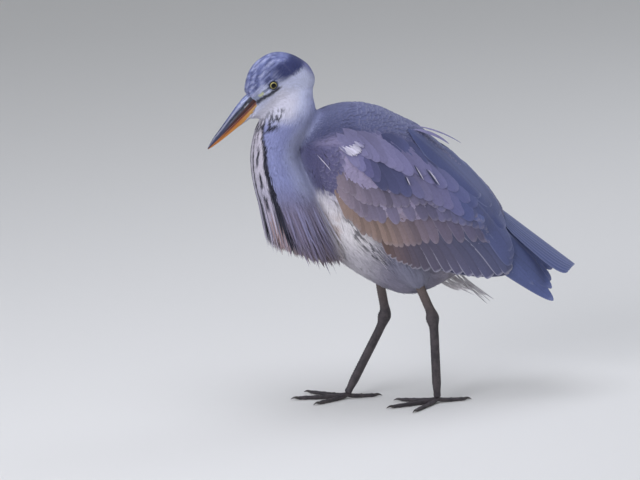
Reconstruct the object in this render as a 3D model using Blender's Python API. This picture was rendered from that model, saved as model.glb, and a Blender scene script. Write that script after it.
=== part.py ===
"""A grey heron in its first winter, life size, standing hunched with its bill down and its neck folded.

Metres, +Z up. The heron faces -Y, its left side is +X, and the floor is Z = 0. The origin is the point
on the floor half way between its two feet. Sizes below are in millimetres, as a bird is measured.
"""

import math

import bmesh
import bpy
from mathutils import Matrix, Vector

MM = 0.001
GAP = 0.3  # clearance between neighbouring solids
AROUND = 18  # points round the trunk
SIDES = (("left", 1), ("right", -1))

# Head and bill. The head has its own axis, from the tip of the bill back through the eye.
BILL_TIP = Vector((0, -324.5, 469.5))
BILL_PITCH = 44.0  # degrees that the bill points below level
CULMEN = 107  # feather edge to tip, along the ridge of the bill
GAPE = 124  # mouth corner to tip
EYE_AT = 156  # eye to tip, along the head's axis
EYE_OUT = 13.2  # centre of each eye from the middle plane
EYE_RADIUS = 8.6
# Distance from the tip, height of the upper and of the lower edge over the mouth line, half width.
BILL = (
    (1.5, 1.0, -1.0, 0.8),
    (8, 3.6, -3.2, 1.9),
    (20, 6.8, -5.8, 3.4),
    (40, 9.6, -8.8, 5.2),
    (64, 13.4, -12.0, 7.4),
    (84, 16.8, -15.6, 9.0),
    (104, 19.2, -18.0, 10.4),
    (GAPE - 4, 19.0, -18.5, 11.2),
)
# Distance from the tip, top and bottom of the head over its axis, half width.
HEAD = (
    (62, -8, -11.5, 2.6),
    (76, -7, -16, 6.2),
    (88, -5, -20.5, 9.0),
    (99, 6, -28, 11.8),
    (CULMEN + 1, 20, -34, 13.8),
    (120, 31.5, -40, 15.8),
    (134, 41.5, -45, 17.4),
    (148, 47, -51, 18.6),
    (160, 48.5, -56, 19.4),
    (174, 46.5, -60, 20.6),
    (188, 42, -62, 22.0),
    (200, 34, -62, 22.6),
    (210, 21, -58, 21.0),
    (217, 7, -50, 17.0),
    (221, -9, -39, 11.0),
)
HEAD_AROUND = 16

# Neck and breast: sections from the skull down to the plumes' tips.
# Height, front, back, half width, slope of the section down towards the back.
NECK = (
    (566, -196, -139, 18, 0),
    (546, -208, -136, 26, 0),
    (528, -221, -134, 32, 0),
    (514, -232, -137, 35, 0),
    (496, -240, -149, 37, 0),
    (476, -244.5, -164, 39, 0),
    (456, -247, -171, 43, 0),
    (430, -247, -160, 47, 0),
    (400, -242, -143, 51, 0),
    (368, -234, -126, 54, 0.03),
    (336, -226, -114, 55, 0.07),
    (308, -217, -104, 53, 0.13),
    (287, -205, -98, 48, 0.2),
)
NECK_PARTED_AT = 425
PLUME_TIPS = 13  # points along the hem of the breast plumes
PLUME_DEPTH = 15

# Trunk with mantle and belly: upright sections from the shoulders to the rump.
# Distance behind the origin, top, bottom, half width, height where it is widest.
TRUNK = (
    (-160, 486, 420, 22, 452),
    (-150, 508, 388, 40, 446),
    (-130, 525, 320, 52, 438),
    (-98, 535, 262, 61, 418),
    (-60, 537, 232, 65, 398),
    (-20, 527, 206, 66, 380),
    (20, 506, 189, 65, 362),
    (56, 486, 188, 61, 346),
    (96, 447, 206, 54, 328),
    (136, 414, 227, 45, 318),
    (172, 378, 256, 36, 318),
    (200, 336, 284, 24, 310),
)
SQUARE_ABOVE = 2.3  # how square the section is over its widest height, and under it
SQUARE_BELOW = 1.85
# The sides that the folded wings lie on run on past the rump.
FLANK = TRUNK[:8] + (
    (96, 450, 196, 58, 320),
    (136, 425, 178, 53, 300),
    (172, 398, 160, 47, 276),
    (204, 362, 144, 41, 250),
    (240, 318, 128, 34, 222),
    (300, 246, 112, 27, 176),
)

# Wings, seen from the side as (behind the origin, height), from the shoulder back.
COVERTS_TOP = ((-138, 472), (-112, 481), (-60, 482), (-10, 474), (58, 440), (112, 406), (147, 376), (170, 340))
COVERTS_HEM = ((-142, 440), (-132, 404), (-113, 374), (-76, 340), (-26, 304), (54, 296), (100, 291), (142, 288))
SECONDARIES_TOP = ((-84, 356), (-30, 328), (48, 322), (110, 336), (156, 338), (204, 302))
SECONDARIES_HEM = ((-94, 350), (-72, 323), (-39, 296), (-8, 270), (43, 251), (100, 240), (160, 226), (206, 230))
PRIMARIES_TOP = ((116, 330), (170, 336), (200, 305), (224, 282), (250, 252), (263, 231), (274, 205), (281, 174))
PRIMARIES_HEM = ((116, 270), (160, 246), (190, 230), (204, 217), (222, 203), (238, 190), (254, 178), (270, 171))
SHOULDER = (-120, 450)  # the wing turns about this when it droops
RIGHT_WING_LIFT = 2.6  # degrees that the right wing is held above the left
RIGHT_WING_BACK = 7.0  # and how much further back it lies
SECONDARY_TIPS = 10

# Tail: a closed fan of feathers, arched like a roof.
TAIL_ROOT = Vector((0, 170, 349))
TAIL_TIP = Vector((0, 329, 220))
TAIL_HALF_WIDTH = 33
TAIL_ARCH = 19
TAIL_THICK = 8
TAIL_FEATHERS = 5  # steps that show across half of the fan's end

# Legs. Each joint is (out from the middle plane, behind the origin, height).
KNEE = {"left": (42, 10, 300), "right": (42, -20, 296)}
FEATHER_END = {"left": (34, 46, 205), "right": (33, -7, 200)}
HOCK = {"left": (34, 69, 152), "right": (34, 4, 143)}
ANKLE = {"left": (35, 76, 11), "right": (35, -66, 11)}
TOE_HEADING = {"left": 10, "right": 10}  # degrees that the middle toe points outwards
SHANK_RADIUS = 5.6
TARSUS_RADIUS = 5.6
HOCK_RADIUS = 8.4
# Toe, angle from the middle toe (outwards is positive), length with the claw, radius at its root.
TOES = (
    ("inner", -34, 76, 4.1),
    ("middle", 0, 98, 4.3),
    ("outer", 33, 84, 4.0),
    ("hind", 172, 62, 4.0),
)
TOE_AROUND = 6

COLOURS = {
    "crown": ("5A5D7C", 0.75),
    "plumage": ("6E6F8C", 0.8),
    "neck": ("9C9BB8", 0.8),
    "breast": ("A6A2B4", 0.8),
    "wing": ("6B6983", 0.75),
    "flight": ("54566F", 0.6),
    "upper_bill": ("3A3D55", 0.35),
    "lower_bill": ("C9802E", 0.35),
    "eye": ("E2C25A", 0.1),
    "leg": ("5A463D", 0.5),
}


# ---------------------------------------------------------------- shared ways of making shapes


def material(name):
    """A Principled material, made once, from its hex colour and roughness."""
    found = bpy.data.materials.get(name)
    if found:
        return found
    code, roughness = COLOURS[name]
    made = bpy.data.materials.new(name)
    made.use_nodes = True
    shader = made.node_tree.nodes["Principled BSDF"]
    srgb = [int(code[i : i + 2], 16) / 255 for i in (0, 2, 4)]
    linear = [c / 12.92 if c <= 0.04045 else ((c + 0.055) / 1.055) ** 2.4 for c in srgb]
    shader.inputs["Base Color"].default_value = (*linear, 1)
    shader.inputs["Roughness"].default_value = roughness
    return made


def smooth_row(rows, share):
    """The row of numbers that lies share of the way along a table of rows, on a smooth curve."""
    place = share * (len(rows) - 1)
    i = min(int(place), len(rows) - 2)
    t = place - i
    p1, p2 = rows[i], rows[i + 1]
    p0 = rows[i - 1] if i else [2 * a - b for a, b in zip(p1, p2)]
    p3 = rows[i + 2] if i + 2 < len(rows) else [2 * b - a for a, b in zip(p1, p2)]
    return [
        b + 0.5 * t * (c - a + t * (2 * a - 5 * b + 4 * c - d + t * (3 * (b - c) + d - a)))
        for a, b, c, d in zip(p0, p1, p2, p3)
    ]


def row_at(rows, value):
    """The smooth row whose first number is value. The first numbers grow along the table."""
    value = min(max(value, rows[0][0]), rows[-1][0])
    low, high = 0.0, 1.0
    for _ in range(30):
        middle = (low + high) / 2
        if smooth_row(rows, middle)[0] < value:
            low = middle
        else:
            high = middle
    return smooth_row(rows, (low + high) / 2)


def power(value, exponent):
    return math.copysign(abs(value) ** exponent, value)


def as_object(name, mesh_data, colour):
    """A named object from a bmesh in millimetres, its faces pointing out and shaded smooth."""
    bmesh.ops.recalc_face_normals(mesh_data, faces=mesh_data.faces)
    bmesh.ops.scale(mesh_data, vec=(MM, MM, MM), verts=mesh_data.verts)
    mesh = bpy.data.meshes.new(name)
    mesh_data.to_mesh(mesh)
    mesh_data.free()
    mesh.materials.append(material(colour))
    mesh.shade_smooth()
    mesh.set_sharp_from_angle(angle=math.radians(50))
    made = bpy.data.objects.new(name, mesh)
    bpy.context.scene.collection.objects.link(made)
    return made


def loft(name, rings, colour, ends):
    """A closed skin over rings of points. ends are the two points that close it."""
    shape = bmesh.new()
    rows = [[shape.verts.new(point) for point in ring] for ring in rings]
    count = len(rings[0])
    for first, second in zip(rows, rows[1:]):
        for i in range(count):
            j = (i + 1) % count
            shape.faces.new((first[i], first[j], second[j], second[i]))
    for row, end in zip((rows[0], rows[-1]), ends):
        tip = shape.verts.new(end)
        for i in range(count):
            shape.faces.new((row[i], row[(i + 1) % count], tip))
    return as_object(name, shape, colour)


def grown(solid, gap):
    """A hidden copy of a solid, larger all round by the clearance, that cuts its neighbours."""
    cutter = solid.copy()
    cutter.data = solid.data.copy()
    cutter.name = solid.name + "_cutter"
    cutter.hide_render = True
    cutter.display_type = "WIRE"
    bpy.context.scene.collection.objects.link(cutter)
    shape = bmesh.new()
    shape.from_mesh(cutter.data)
    shape.normal_update()
    moved = [(v, v.co + v.normal * min(v.calc_shell_factor(), 2.5) * gap * MM) for v in shape.verts]
    for vert, place in moved:
        vert.co = place
    shape.to_mesh(cutter.data)
    shape.free()
    return cutter


def spread(faces):
    """The volume of the box round some faces."""
    spots = [v.co for face in faces for v in face.verts]
    spans = [max(s[i] for s in spots) - min(s[i] for s in spots) for i in range(3)]
    return spans[0] * spans[1] * spans[2]


def keep_largest(mesh):
    """Deletes the slivers that a cut leaves beside the main body, and welds its corners."""
    shape = bmesh.new()
    shape.from_mesh(mesh)
    bmesh.ops.dissolve_degenerate(shape, dist=0.005 * MM, edges=shape.edges)
    flat = math.radians(0.05)
    bmesh.ops.dissolve_limit(shape, angle_limit=flat, verts=shape.verts, edges=shape.edges)
    bmesh.ops.triangulate(shape, faces=shape.faces)
    left, groups = set(shape.faces), []
    while left:
        group, todo = [], [left.pop()]
        while todo:
            face = todo.pop()
            group.append(face)
            for edge in face.edges:
                for other in edge.link_faces if len(edge.link_faces) == 2 else ():
                    if other in left:
                        left.remove(other)
                        todo.append(other)
        groups.append(group)
    largest = set(max(groups, key=spread))
    bmesh.ops.delete(shape, geom=[f for f in shape.faces if f not in largest], context="FACES")
    shape.to_mesh(mesh)
    shape.free()


def apply_modifiers(solid):
    """Replaces a solid's mesh with what its modifiers make of it."""
    bpy.context.view_layer.update()
    evaluated = solid.evaluated_get(bpy.context.evaluated_depsgraph_get())
    solid.data = bpy.data.meshes.new_from_object(evaluated)
    solid.modifiers.clear()


def apart(first, second):
    """Whether the boxes round two solids are clear of each other."""
    boxes = []
    for solid in (first, second):
        spots = [v.co for v in solid.data.vertices]
        boxes.append([(min(s[i] for s in spots), max(s[i] for s in spots)) for i in range(3)])
    return any(a[1] + MM < b[0] or b[1] + MM < a[0] for a, b in zip(*boxes))


def cut(solid, *others):
    """Cuts the other solids out of one, with the clearance between them.

    A thin edge does not grow evenly, so a second cut with the solid itself follows the first.
    """
    near = [other for other in others if not apart(solid, other)]
    for other, gap in [(other, gap) for other in near for gap in (GAP, 0)]:
        cutter = grown(other, gap)
        boolean = solid.modifiers.new(f"clear_of_{other.name}", "BOOLEAN")
        boolean.operation = "DIFFERENCE"
        boolean.solver = "MANIFOLD"
        boolean.object = cutter
        apply_modifiers(solid)
        bpy.data.objects.remove(cutter)
    keep_largest(solid.data)
    return solid


def part_level(solid, height, upper_name, lower_name):
    """Parts a solid with a thin level cut, and returns the upper and the lower piece."""
    pieces = []
    for name, inward in ((upper_name, 1), (lower_name, -1)):
        shape = bmesh.new()
        shape.from_mesh(solid.data)
        everything = shape.verts[:] + shape.edges[:] + shape.faces[:]
        at = Vector((0, 0, height + inward * GAP / 2)) * MM
        bmesh.ops.bisect_plane(
            shape, geom=everything, dist=1e-7, plane_co=at, plane_no=(0, 0, -inward), clear_outer=True
        )
        rim = [edge for edge in shape.edges if edge.is_boundary]
        bmesh.ops.triangle_fill(shape, edges=rim, use_beauty=True)
        bmesh.ops.scale(shape, vec=(1 / MM,) * 3, verts=shape.verts)
        pieces.append(as_object(name, shape, solid.data.materials[0].name))
    bpy.data.objects.remove(solid)
    return pieces


# ---------------------------------------------------------------- head and bill


def on_head(along, height, out=0.0):
    """A point at a distance back from the bill's tip, a height over the mouth line and out to +X."""
    pitch = math.radians(BILL_PITCH)
    back = Vector((0, math.cos(pitch), math.sin(pitch)))
    up = Vector((0, -math.sin(pitch), math.cos(pitch)))
    return BILL_TIP + back * along + up * height + Vector((out, 0, 0))


def head_ring(along, top, bottom, half_width):
    """An egg-shaped section of the head, its widest level on the mouth line where it spans it."""
    widest = min(max(-4.0, bottom * 0.6 + top * 0.4), top * 0.5 + bottom * 0.5 + 12)
    ring = []
    for i in range(HEAD_AROUND):
        angle = 2 * math.pi * i / HEAD_AROUND
        rise = math.cos(angle)
        reach = top - widest if rise > 0 else widest - bottom
        ring.append(on_head(along, widest + rise * reach, half_width * math.sin(angle)))
    return ring


def make_head():
    rings = [head_ring(*smooth_row(HEAD, i / 16)) for i in range(17)]
    first, last = HEAD[0], HEAD[-1]
    ends = (
        on_head(first[0] - 2, (first[1] + first[2]) / 2),
        on_head(last[0] + 3.5, (last[1] + last[2]) / 2),
    )
    return loft("head", rings, "crown", ends)


def make_bill(name, upper):
    """One mandible: flat along the mouth line and round on its other side."""
    rings = []
    for i in range(10):
        along, top, bottom, half_width = smooth_row(BILL, i / 9)
        edge = top if upper else bottom
        seam = math.copysign(GAP / 2, edge)
        arch = [
            on_head(along, seam + (edge - seam) * math.sin(angle), half_width * math.cos(angle))
            for angle in [math.pi * j / 6 for j in range(7)]
        ]
        rings.append(arch)
    return loft(name, rings, "upper_bill" if upper else "lower_bill", bill_ends(rings))


def bill_ends(rings):
    return [sum(ring, Vector()) / len(ring) for ring in (rings[0], rings[-1])]


def make_eye(side, sign):
    shape = bmesh.new()
    bmesh.ops.create_uvsphere(shape, u_segments=12, v_segments=7, radius=EYE_RADIUS)
    turn = Matrix.Rotation(math.pi / 2, 4, "Y")
    bmesh.ops.transform(shape, matrix=turn, verts=shape.verts)
    bmesh.ops.translate(shape, vec=on_head(EYE_AT, 1, sign * EYE_OUT), verts=shape.verts)
    return as_object(f"eye_{side}", shape, "eye")


# ---------------------------------------------------------------- neck, trunk, tail


def neck_ring(height, front, back, half_width, slope, hem=0.0):
    """A section of the neck, blunter in front than behind. hem is how deep its points hang."""
    middle, half = (front + back) / 2, (back - front) / 2
    ring = []
    count = 2 * PLUME_TIPS
    for i in range(count):
        angle = 2 * math.pi * i / count
        x = half_width * power(math.sin(angle), 0.86)
        y = middle - half * math.cos(angle)
        sag = hem * (1.0 if i % 2 else 0.15) * (1 - 0.45 * math.cos(angle))
        ring.append(Vector((x, y, height - slope * (y - middle) - sag)))
    return ring


def make_neck():
    rings = [neck_ring(*smooth_row(NECK, i / 13)) for i in range(14)]
    rings.append(neck_ring(*NECK[-1], hem=PLUME_DEPTH))
    top, bottom = NECK[0], NECK[-1]
    ends = (
        Vector((0, (top[1] + top[2]) / 2, top[0] + 6)),
        Vector((0, (bottom[1] + bottom[2]) / 2, bottom[0] + 16)),
    )
    rings[-1] = [point.lerp(Vector((0, point.y, point.z)), 0.03) for point in rings[-1]]
    return loft("neck", rings, "neck", ends)


def trunk_ring(y, top, bottom, half_width, widest):
    """An upright section through the trunk."""
    ring = []
    for i in range(AROUND):
        angle = 2 * math.pi * i / AROUND
        square = SQUARE_ABOVE if math.cos(angle) > 0 else SQUARE_BELOW
        rise = power(math.cos(angle), 2 / square)
        reach = top - widest if rise > 0 else widest - bottom
        x = half_width * power(math.sin(angle), 2 / square)
        ring.append(Vector((x, y, widest + rise * reach)))
    return ring


def make_trunk():
    rings = [trunk_ring(*smooth_row(TRUNK, i / 13)) for i in range(14)]
    ends = (
        Vector((0, TRUNK[0][0] - 6, TRUNK[0][4])),
        Vector((0, TRUNK[-1][0] + 5, TRUNK[-1][4])),
    )
    return loft("trunk", rings, "plumage", ends)


def flank(y, z):
    """How far out from the middle plane the body's side is, at a place seen from the side."""
    _, top, bottom, half_width, widest = row_at(FLANK, y)
    reach = top - widest if z > widest else widest - bottom
    square = SQUARE_ABOVE if z > widest else SQUARE_BELOW
    share = min(abs(z - widest) / reach, 0.96)
    return half_width * (1 - share**square) ** (1 / square)


def make_tail():
    """A wedge of stacked feathers, stepped towards its middle pair, which reach furthest."""
    along = (TAIL_TIP - TAIL_ROOT).normalized()
    up = Vector((0, -along.z, along.y))
    length = (TAIL_TIP - TAIL_ROOT).length
    columns = 2 * TAIL_FEATHERS + 1
    shape = bmesh.new()
    faces = []
    for layer in (0.5, -0.5):
        rows = []
        for i in range(6):
            share = i / 5
            row = []
            for j in range(columns):
                out = 2 * j / (columns - 1) - 1
                width = TAIL_HALF_WIDTH * (0.62 + 0.38 * share)
                step = 9 * abs(out) ** 1.5 + (2.5 if j % 2 else 0)
                reach = share * (length - step)
                thick = TAIL_THICK * (1 - 0.72 * share) * (1 - 0.5 * abs(out))
                sag = TAIL_ARCH * out * out
                place = TAIL_ROOT + along * reach + up * (layer * thick - sag) + Vector((out * width, 0, 0))
                row.append(shape.verts.new(place))
            rows.append(row)
        faces.append(rows)
    close_slab(shape, *faces)
    return as_object("tail", shape, "flight")


def close_slab(shape, outer, inner):
    """Faces over two matching grids of points and round their rim."""
    for grid in (outer, inner):
        for first, second in zip(grid, grid[1:]):
            for i in range(len(first) - 1):
                shape.faces.new((first[i], first[i + 1], second[i + 1], second[i]))
    for a, b in zip(rim_of(outer), rim_of(inner)):
        shape.faces.new((a[0], a[1], b[1], b[0]))


def rim_of(grid):
    """The pairs of neighbouring points round the edge of a grid."""
    edge = grid[0] + [row[-1] for row in grid[1:]] + grid[-1][-2::-1] + [row[0] for row in grid[-2:0:-1]]
    return list(zip(edge, edge[1:] + edge[:1]))


# ---------------------------------------------------------------- wings


def lifted(place, degrees, back):
    """A place seen from the side, turned up about the shoulder and moved back."""
    angle = math.radians(degrees)
    y, z = place[0] - SHOULDER[0], place[1] - SHOULDER[1]
    return (
        SHOULDER[0] + y * math.cos(angle) - z * math.sin(angle) + back,
        SHOULDER[1] + y * math.sin(angle) + z * math.cos(angle),
    )


def wing_slab(name, sign, top, hem, pads, inside, columns, rows, tips, colour):
    """A tract of wing feathers lying on the flank, between a top line and a hem seen from the side.

    pads are how far it stands off the flank along its top, its middle and its hem. inside is how far
    it reaches below the flank. tips is the number of feather tips that scallop the hem.
    """
    lift, back = (0, 0) if sign > 0 else (RIGHT_WING_LIFT, RIGHT_WING_BACK)
    shape = bmesh.new()
    grids = ([], [])
    for i in range(columns + 1):
        share = i / columns
        upper, lower = smooth_row(top, share), smooth_row(hem, share)
        scallop = 1 - 0.035 * (math.cos(2 * math.pi * tips * share) > 0.2)
        lines = ([], [])
        for j in range(rows):
            down = j / (rows - 1)
            reach = down * (scallop if j == rows - 1 else 1)
            y = upper[0] + (lower[0] - upper[0]) * reach
            z = upper[1] + (lower[1] - upper[1]) * reach
            y, z = lifted((y, z), lift, back)
            side = flank(y, z)
            arch = math.sin(math.pi * down) ** 0.8
            ends = pads[0] + (pads[2] - pads[0]) * down
            ends *= min(1, 0.45 + 3.5 * share)
            pad = ends + (pads[1] - (pads[0] + pads[2]) / 2) * arch * min(1, 5 * share) ** 0.5
            depth = inside(share)
            lines[0].append(shape.verts.new((sign * (side + pad), y, z)))
            lines[1].append(shape.verts.new((sign * (side + depth), y, z)))
        for grid, line in zip(grids, lines):
            grid.append(line)
    close_slab(shape, *grids)
    return as_object(name, shape, colour)


def make_wing(side, sign):
    """Coverts, secondaries and primaries of one folded wing, each lying over the next."""
    coverts = wing_slab(
        f"wing_{side}_coverts", sign, COVERTS_TOP, COVERTS_HEM, (2.5, 15, 9), lambda s: -3.5, 18, 5, 9, "wing"
    )
    secondaries = wing_slab(
        f"wing_{side}_secondaries",
        sign,
        SECONDARIES_TOP,
        SECONDARIES_HEM,
        (2.5, 7, 4.5),
        lambda s: -3.5 + 3 * max(0, s - 0.6) / 0.4,
        2 * SECONDARY_TIPS,
        4,
        SECONDARY_TIPS,
        "flight",
    )
    primaries = wing_slab(
        f"wing_{side}_primaries",
        sign,
        PRIMARIES_TOP,
        PRIMARIES_HEM,
        (1.0, 3.0, 1.2),
        lambda s: -3.0 + 2.0 * s,
        12,
        4,
        3,
        "flight",
    )
    cut(secondaries, coverts)
    cut(primaries, coverts, secondaries)
    return [coverts, secondaries, primaries]


# ---------------------------------------------------------------- legs


def joint(table, side, sign):
    out, y, z = table[side]
    return Vector((sign * out, y, z))


def limb(name, stations, colour, around=10, flat_floor=False):
    """A limb through (centre, radius across, radius fore and aft) stations, closed with round ends."""
    rings = []
    for i, (centre, across, deep) in enumerate(stations):
        before, after = stations[max(i - 1, 0)][0], stations[min(i + 1, len(stations) - 1)][0]
        along = (after - before).normalized()
        side = Vector((1, 0, 0)) if abs(along.x) < 0.9 else Vector((0, 1, 0))
        if flat_floor:
            side = Vector((0, 0, 1)).cross(along).normalized()
        front = along.cross(side).normalized()
        side = front.cross(along).normalized()
        ring = []
        for j in range(around):
            angle = 2 * math.pi * (j if flat_floor else j + 0.5) / around
            point = centre + side * across * math.cos(angle) + front * deep * math.sin(angle)
            if flat_floor:
                point.z = max(point.z, 0)
            ring.append(point)
        rings.append(ring)
    ends = []
    for (centre, across, _), other in ((stations[0], stations[1]), (stations[-1], stations[-2])):
        tip = centre + (centre - other[0]).normalized() * across * 0.45
        if flat_floor:
            tip.z = max(tip.z, 0.4)
        ends.append(tip)
    return loft(name, rings, colour, ends)


def make_thigh(side, sign):
    knee, end = joint(KNEE, side, sign), joint(FEATHER_END, side, sign)
    shares = ((0.0, 27, 40), (0.3, 25, 37), (0.55, 20, 30), (0.78, 14, 20), (0.93, 9.5, 12.5), (1.0, 8, 10))
    stations = [(knee.lerp(end, s), across, deep) for s, across, deep in shares]
    return limb(f"thigh_{side}", stations, "breast", 12)


def make_shank(side, sign):
    start, hock = joint(FEATHER_END, side, sign), joint(HOCK, side, sign)
    inside = start + (start - hock).normalized() * 14
    r = SHANK_RADIUS
    shares = ((0.0, r, r), (0.4, r, r * 1.05), (0.7, r * 1.05, r * 1.12), (0.86, r * 1.2, r * 1.3))
    stations = [(inside.lerp(hock, s), across, deep) for s, across, deep in shares]
    return limb(f"shank_{side}", stations, "leg")


def make_tarsus(side, sign):
    """The hock's knuckle and the long scaly tarsus below it."""
    hock, ankle = joint(HOCK, side, sign), joint(ANKLE, side, sign)
    start = hock + (joint(FEATHER_END, side, sign) - hock).normalized() * 8
    r, knob = TARSUS_RADIUS, HOCK_RADIUS
    stations = [(start, knob * 0.74, knob * 0.9), (hock, knob * 0.9, knob * 1.12)]
    shares = ((0.07, 0.84 * knob, knob), (0.15, r * 1.1, r * 1.28), (0.4, r * 0.94, r * 1.14))
    shares += ((0.8, r * 0.92, r * 1.1), (0.94, r * 1.08, r * 1.2), (1.0, r * 1.06, r * 1.1))
    stations += [(hock.lerp(ankle, s), across, deep) for s, across, deep in shares]
    return limb(f"tarsus_{side}", stations, "leg", 12)


def make_toe(side, sign, toe, turn, length, radius):
    """A toe lying on the floor, with a swelling at each joint and a claw that touches down."""
    ankle = joint(ANKLE, side, sign)
    heading = math.radians(TOE_HEADING[side] + turn) * sign
    ahead = Vector((math.sin(heading), -math.cos(heading), 0))
    foot = Vector((ankle.x, ankle.y, 0))
    pads = 2 if toe == "hind" else 3
    claw = 13 if toe == "hind" else 10
    stations = []
    count = 3 * pads + 1
    for i in range(count):
        share = i / (count - 1)
        swell = 1 + 0.13 * math.cos(2 * math.pi * pads * share)
        thick = radius * (1 - 0.36 * share) * swell
        reach = 5.5 + share * (length - claw - 5.5)
        lift = 3.4 * (1 - share) ** 4
        stations.append((foot + ahead * reach + Vector((0, 0, thick * 0.8 + lift)), thick, thick))
    end = stations[-1][0]
    for share, thick in ((0.35, 0.5), (0.7, 0.34), (1.0, 0.16)):
        drop = Vector((0, 0, (end.z - 1.0) * share * share + 0.0))
        stations.append((end + ahead * claw * share - drop, radius * thick, radius * thick))
    return limb(f"toe_{side}_{toe}", stations, "leg", TOE_AROUND, flat_floor=True)


def make_leg(side, sign):
    """Thigh feathers, shank, tarsus and four toes, each clear of the one above it."""
    thigh, shank, tarsus = (make(side, sign) for make in (make_thigh, make_shank, make_tarsus))
    cut(thigh, shank)
    cut(shank, tarsus)
    toes = [make_toe(side, sign, *toe) for toe in TOES]
    order = [toes[1], toes[3], toes[0], toes[2]]
    for i, toe in enumerate(order):
        cut(toe, tarsus, *order[:i])
    return [thigh, shank, tarsus, *toes]


# ---------------------------------------------------------------- the whole bird


def clear_scene():
    for found in list(bpy.data.objects):
        bpy.data.objects.remove(found, do_unlink=True)


def main():
    clear_scene()
    bills = [make_bill("bill_upper", True), make_bill("bill_lower", False)]
    eyes = [make_eye(side, sign) for side, sign in SIDES]
    head = cut(make_head(), *bills, *eyes)
    neck = cut(make_neck(), head, *bills)
    wings = [piece for side, sign in SIDES for piece in make_wing(side, sign)]
    for piece in wings:
        cut(piece, neck)
    tail = cut(make_tail(), *wings)
    legs = {side: make_leg(side, sign) for side, sign in SIDES}
    shanks = [pieces[1] for pieces in legs.values()]
    trunk = cut(make_trunk(), head, neck, *wings, tail, *shanks)
    for pieces in legs.values():
        cut(pieces[0], trunk, *wings)
    part_level(neck, NECK_PARTED_AT, "neck_upper", "neck_lower")


main()
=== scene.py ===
# %% [markdown]
# # A young grey heron, dressed for the museum
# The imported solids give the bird's pose and size. This lesson lays a skin inside them, grows the
# plumage over that skin, and finishes the bill, eyes, legs and flight feathers as a taxidermist
# would: the bare parts first, then the coat, then the big feathers of the wings and tail.

# %% Load the frame
import math

import bmesh
import bpy
import numpy as np
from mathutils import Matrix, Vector
from mathutils.bvhtree import BVHTree
from mathutils.kdtree import KDTree


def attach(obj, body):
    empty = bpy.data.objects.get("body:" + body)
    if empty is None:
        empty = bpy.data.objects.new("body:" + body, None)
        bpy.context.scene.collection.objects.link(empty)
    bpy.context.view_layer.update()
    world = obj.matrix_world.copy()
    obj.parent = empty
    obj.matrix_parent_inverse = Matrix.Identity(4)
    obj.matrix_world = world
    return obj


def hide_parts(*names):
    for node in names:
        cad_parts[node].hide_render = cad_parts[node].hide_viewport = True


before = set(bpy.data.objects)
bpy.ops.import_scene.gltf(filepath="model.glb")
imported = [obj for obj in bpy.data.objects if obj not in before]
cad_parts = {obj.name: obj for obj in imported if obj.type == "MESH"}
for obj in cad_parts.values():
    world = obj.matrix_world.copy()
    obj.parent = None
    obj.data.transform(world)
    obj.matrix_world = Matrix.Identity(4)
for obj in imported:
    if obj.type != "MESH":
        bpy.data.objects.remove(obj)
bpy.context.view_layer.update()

MM = 0.001
SEED = 7
SIDES = (("left", 1), ("right", -1))

# %% [markdown]
# ## Named sizes
# The bird faces -Y with its left side at +X, and the floor is Z = 0. The sizes below are the ones
# that its solids were drawn with, in millimetres. The head has its own axes: `along` runs from the
# tip of the bill back through the eye, and `height` is measured square to that.

# %% Sizes shared with the solids
BILL_TIP = np.array((0, -324.5, 469.5))
BILL_PITCH = math.radians(44)
HEAD_BACK = np.array((0, math.cos(BILL_PITCH), math.sin(BILL_PITCH)))
HEAD_UP = np.array((0, -math.sin(BILL_PITCH), math.cos(BILL_PITCH)))
EYE_AT, EYE_OUT, EYE_RADIUS = 156, 13.2, 8.6


def head_place(points):
    """(along, height) on the head's own axes of points in millimetres."""
    away = points - BILL_TIP
    return away @ HEAD_BACK, away @ HEAD_UP


def on_head(along, height, out=0.0):
    """The point in millimetres at a place on the head's axes."""
    return BILL_TIP + HEAD_BACK * along + HEAD_UP * height + np.array((out, 0, 0))


def unit(vectors):
    return vectors / np.linalg.norm(vectors, axis=-1, keepdims=True).clip(1e-9)


def eye_seat(sign):
    """Centre of the eye of one side in millimetres, and the way it looks."""
    return on_head(EYE_AT, 1, sign * EYE_OUT), unit(np.array((sign, 0, 0)) - HEAD_BACK * 0.10)


def ramp(value, start, end):
    """0 before start and 1 after end, with a smooth climb between them."""
    share = np.clip((value - start) / (end - start), 0, 1)
    return share * share * (3 - 2 * share)


def smooth_row(points, count):
    """A smooth curve through a few points, as many points as asked for, evenly in the knots."""
    points = np.asarray(points, float)
    knots = np.linspace(0, len(points) - 1, count)
    i = np.clip(knots.astype(int), 0, len(points) - 2)
    t = (knots - i)[:, None]
    a, b, c, d = (points[np.clip(i + k, 0, len(points) - 1)] for k in (-1, 0, 1, 2))
    return 0.5 * (2 * b + (c - a) * t + (2 * a - 5 * b + 4 * c - d) * t**2 + (3 * b - a - 3 * c + d) * t**3)


# %% [markdown]
# ## Camera, light and floor
# The camera stands on the bird's left, a little in front of it and above it, far off and with a
# long lens, so that nothing near it swells. Three large soft lamps and a pale backdrop give even
# studio light, so the plumage shows its own colours. The floor and backdrop are stage and not part
# of the bird.

# %% Camera
AZIMUTH, ELEVATION = math.radians(74), math.radians(14)
DISTANCE = 14.0
WIDE = 1.1008  # metres across the picture at the bird
BIRD_NEARER = 0.1  # the bird's middle is this much nearer than the point aimed at
AIM_RIGHT, AIM_UP = -0.1204, 0.2786  # where the camera aims, from the origin, square to its view
SENSOR = 36  # width of the camera's sensor in millimetres


def new_object(name, data, *materials):
    """An object at the origin that shows its mesh, lamp or camera, with the given materials."""
    piece = bpy.data.objects.new(name, data)
    bpy.context.scene.collection.objects.link(piece)
    for material in materials:
        data.materials.append(material)
    return piece


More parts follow.
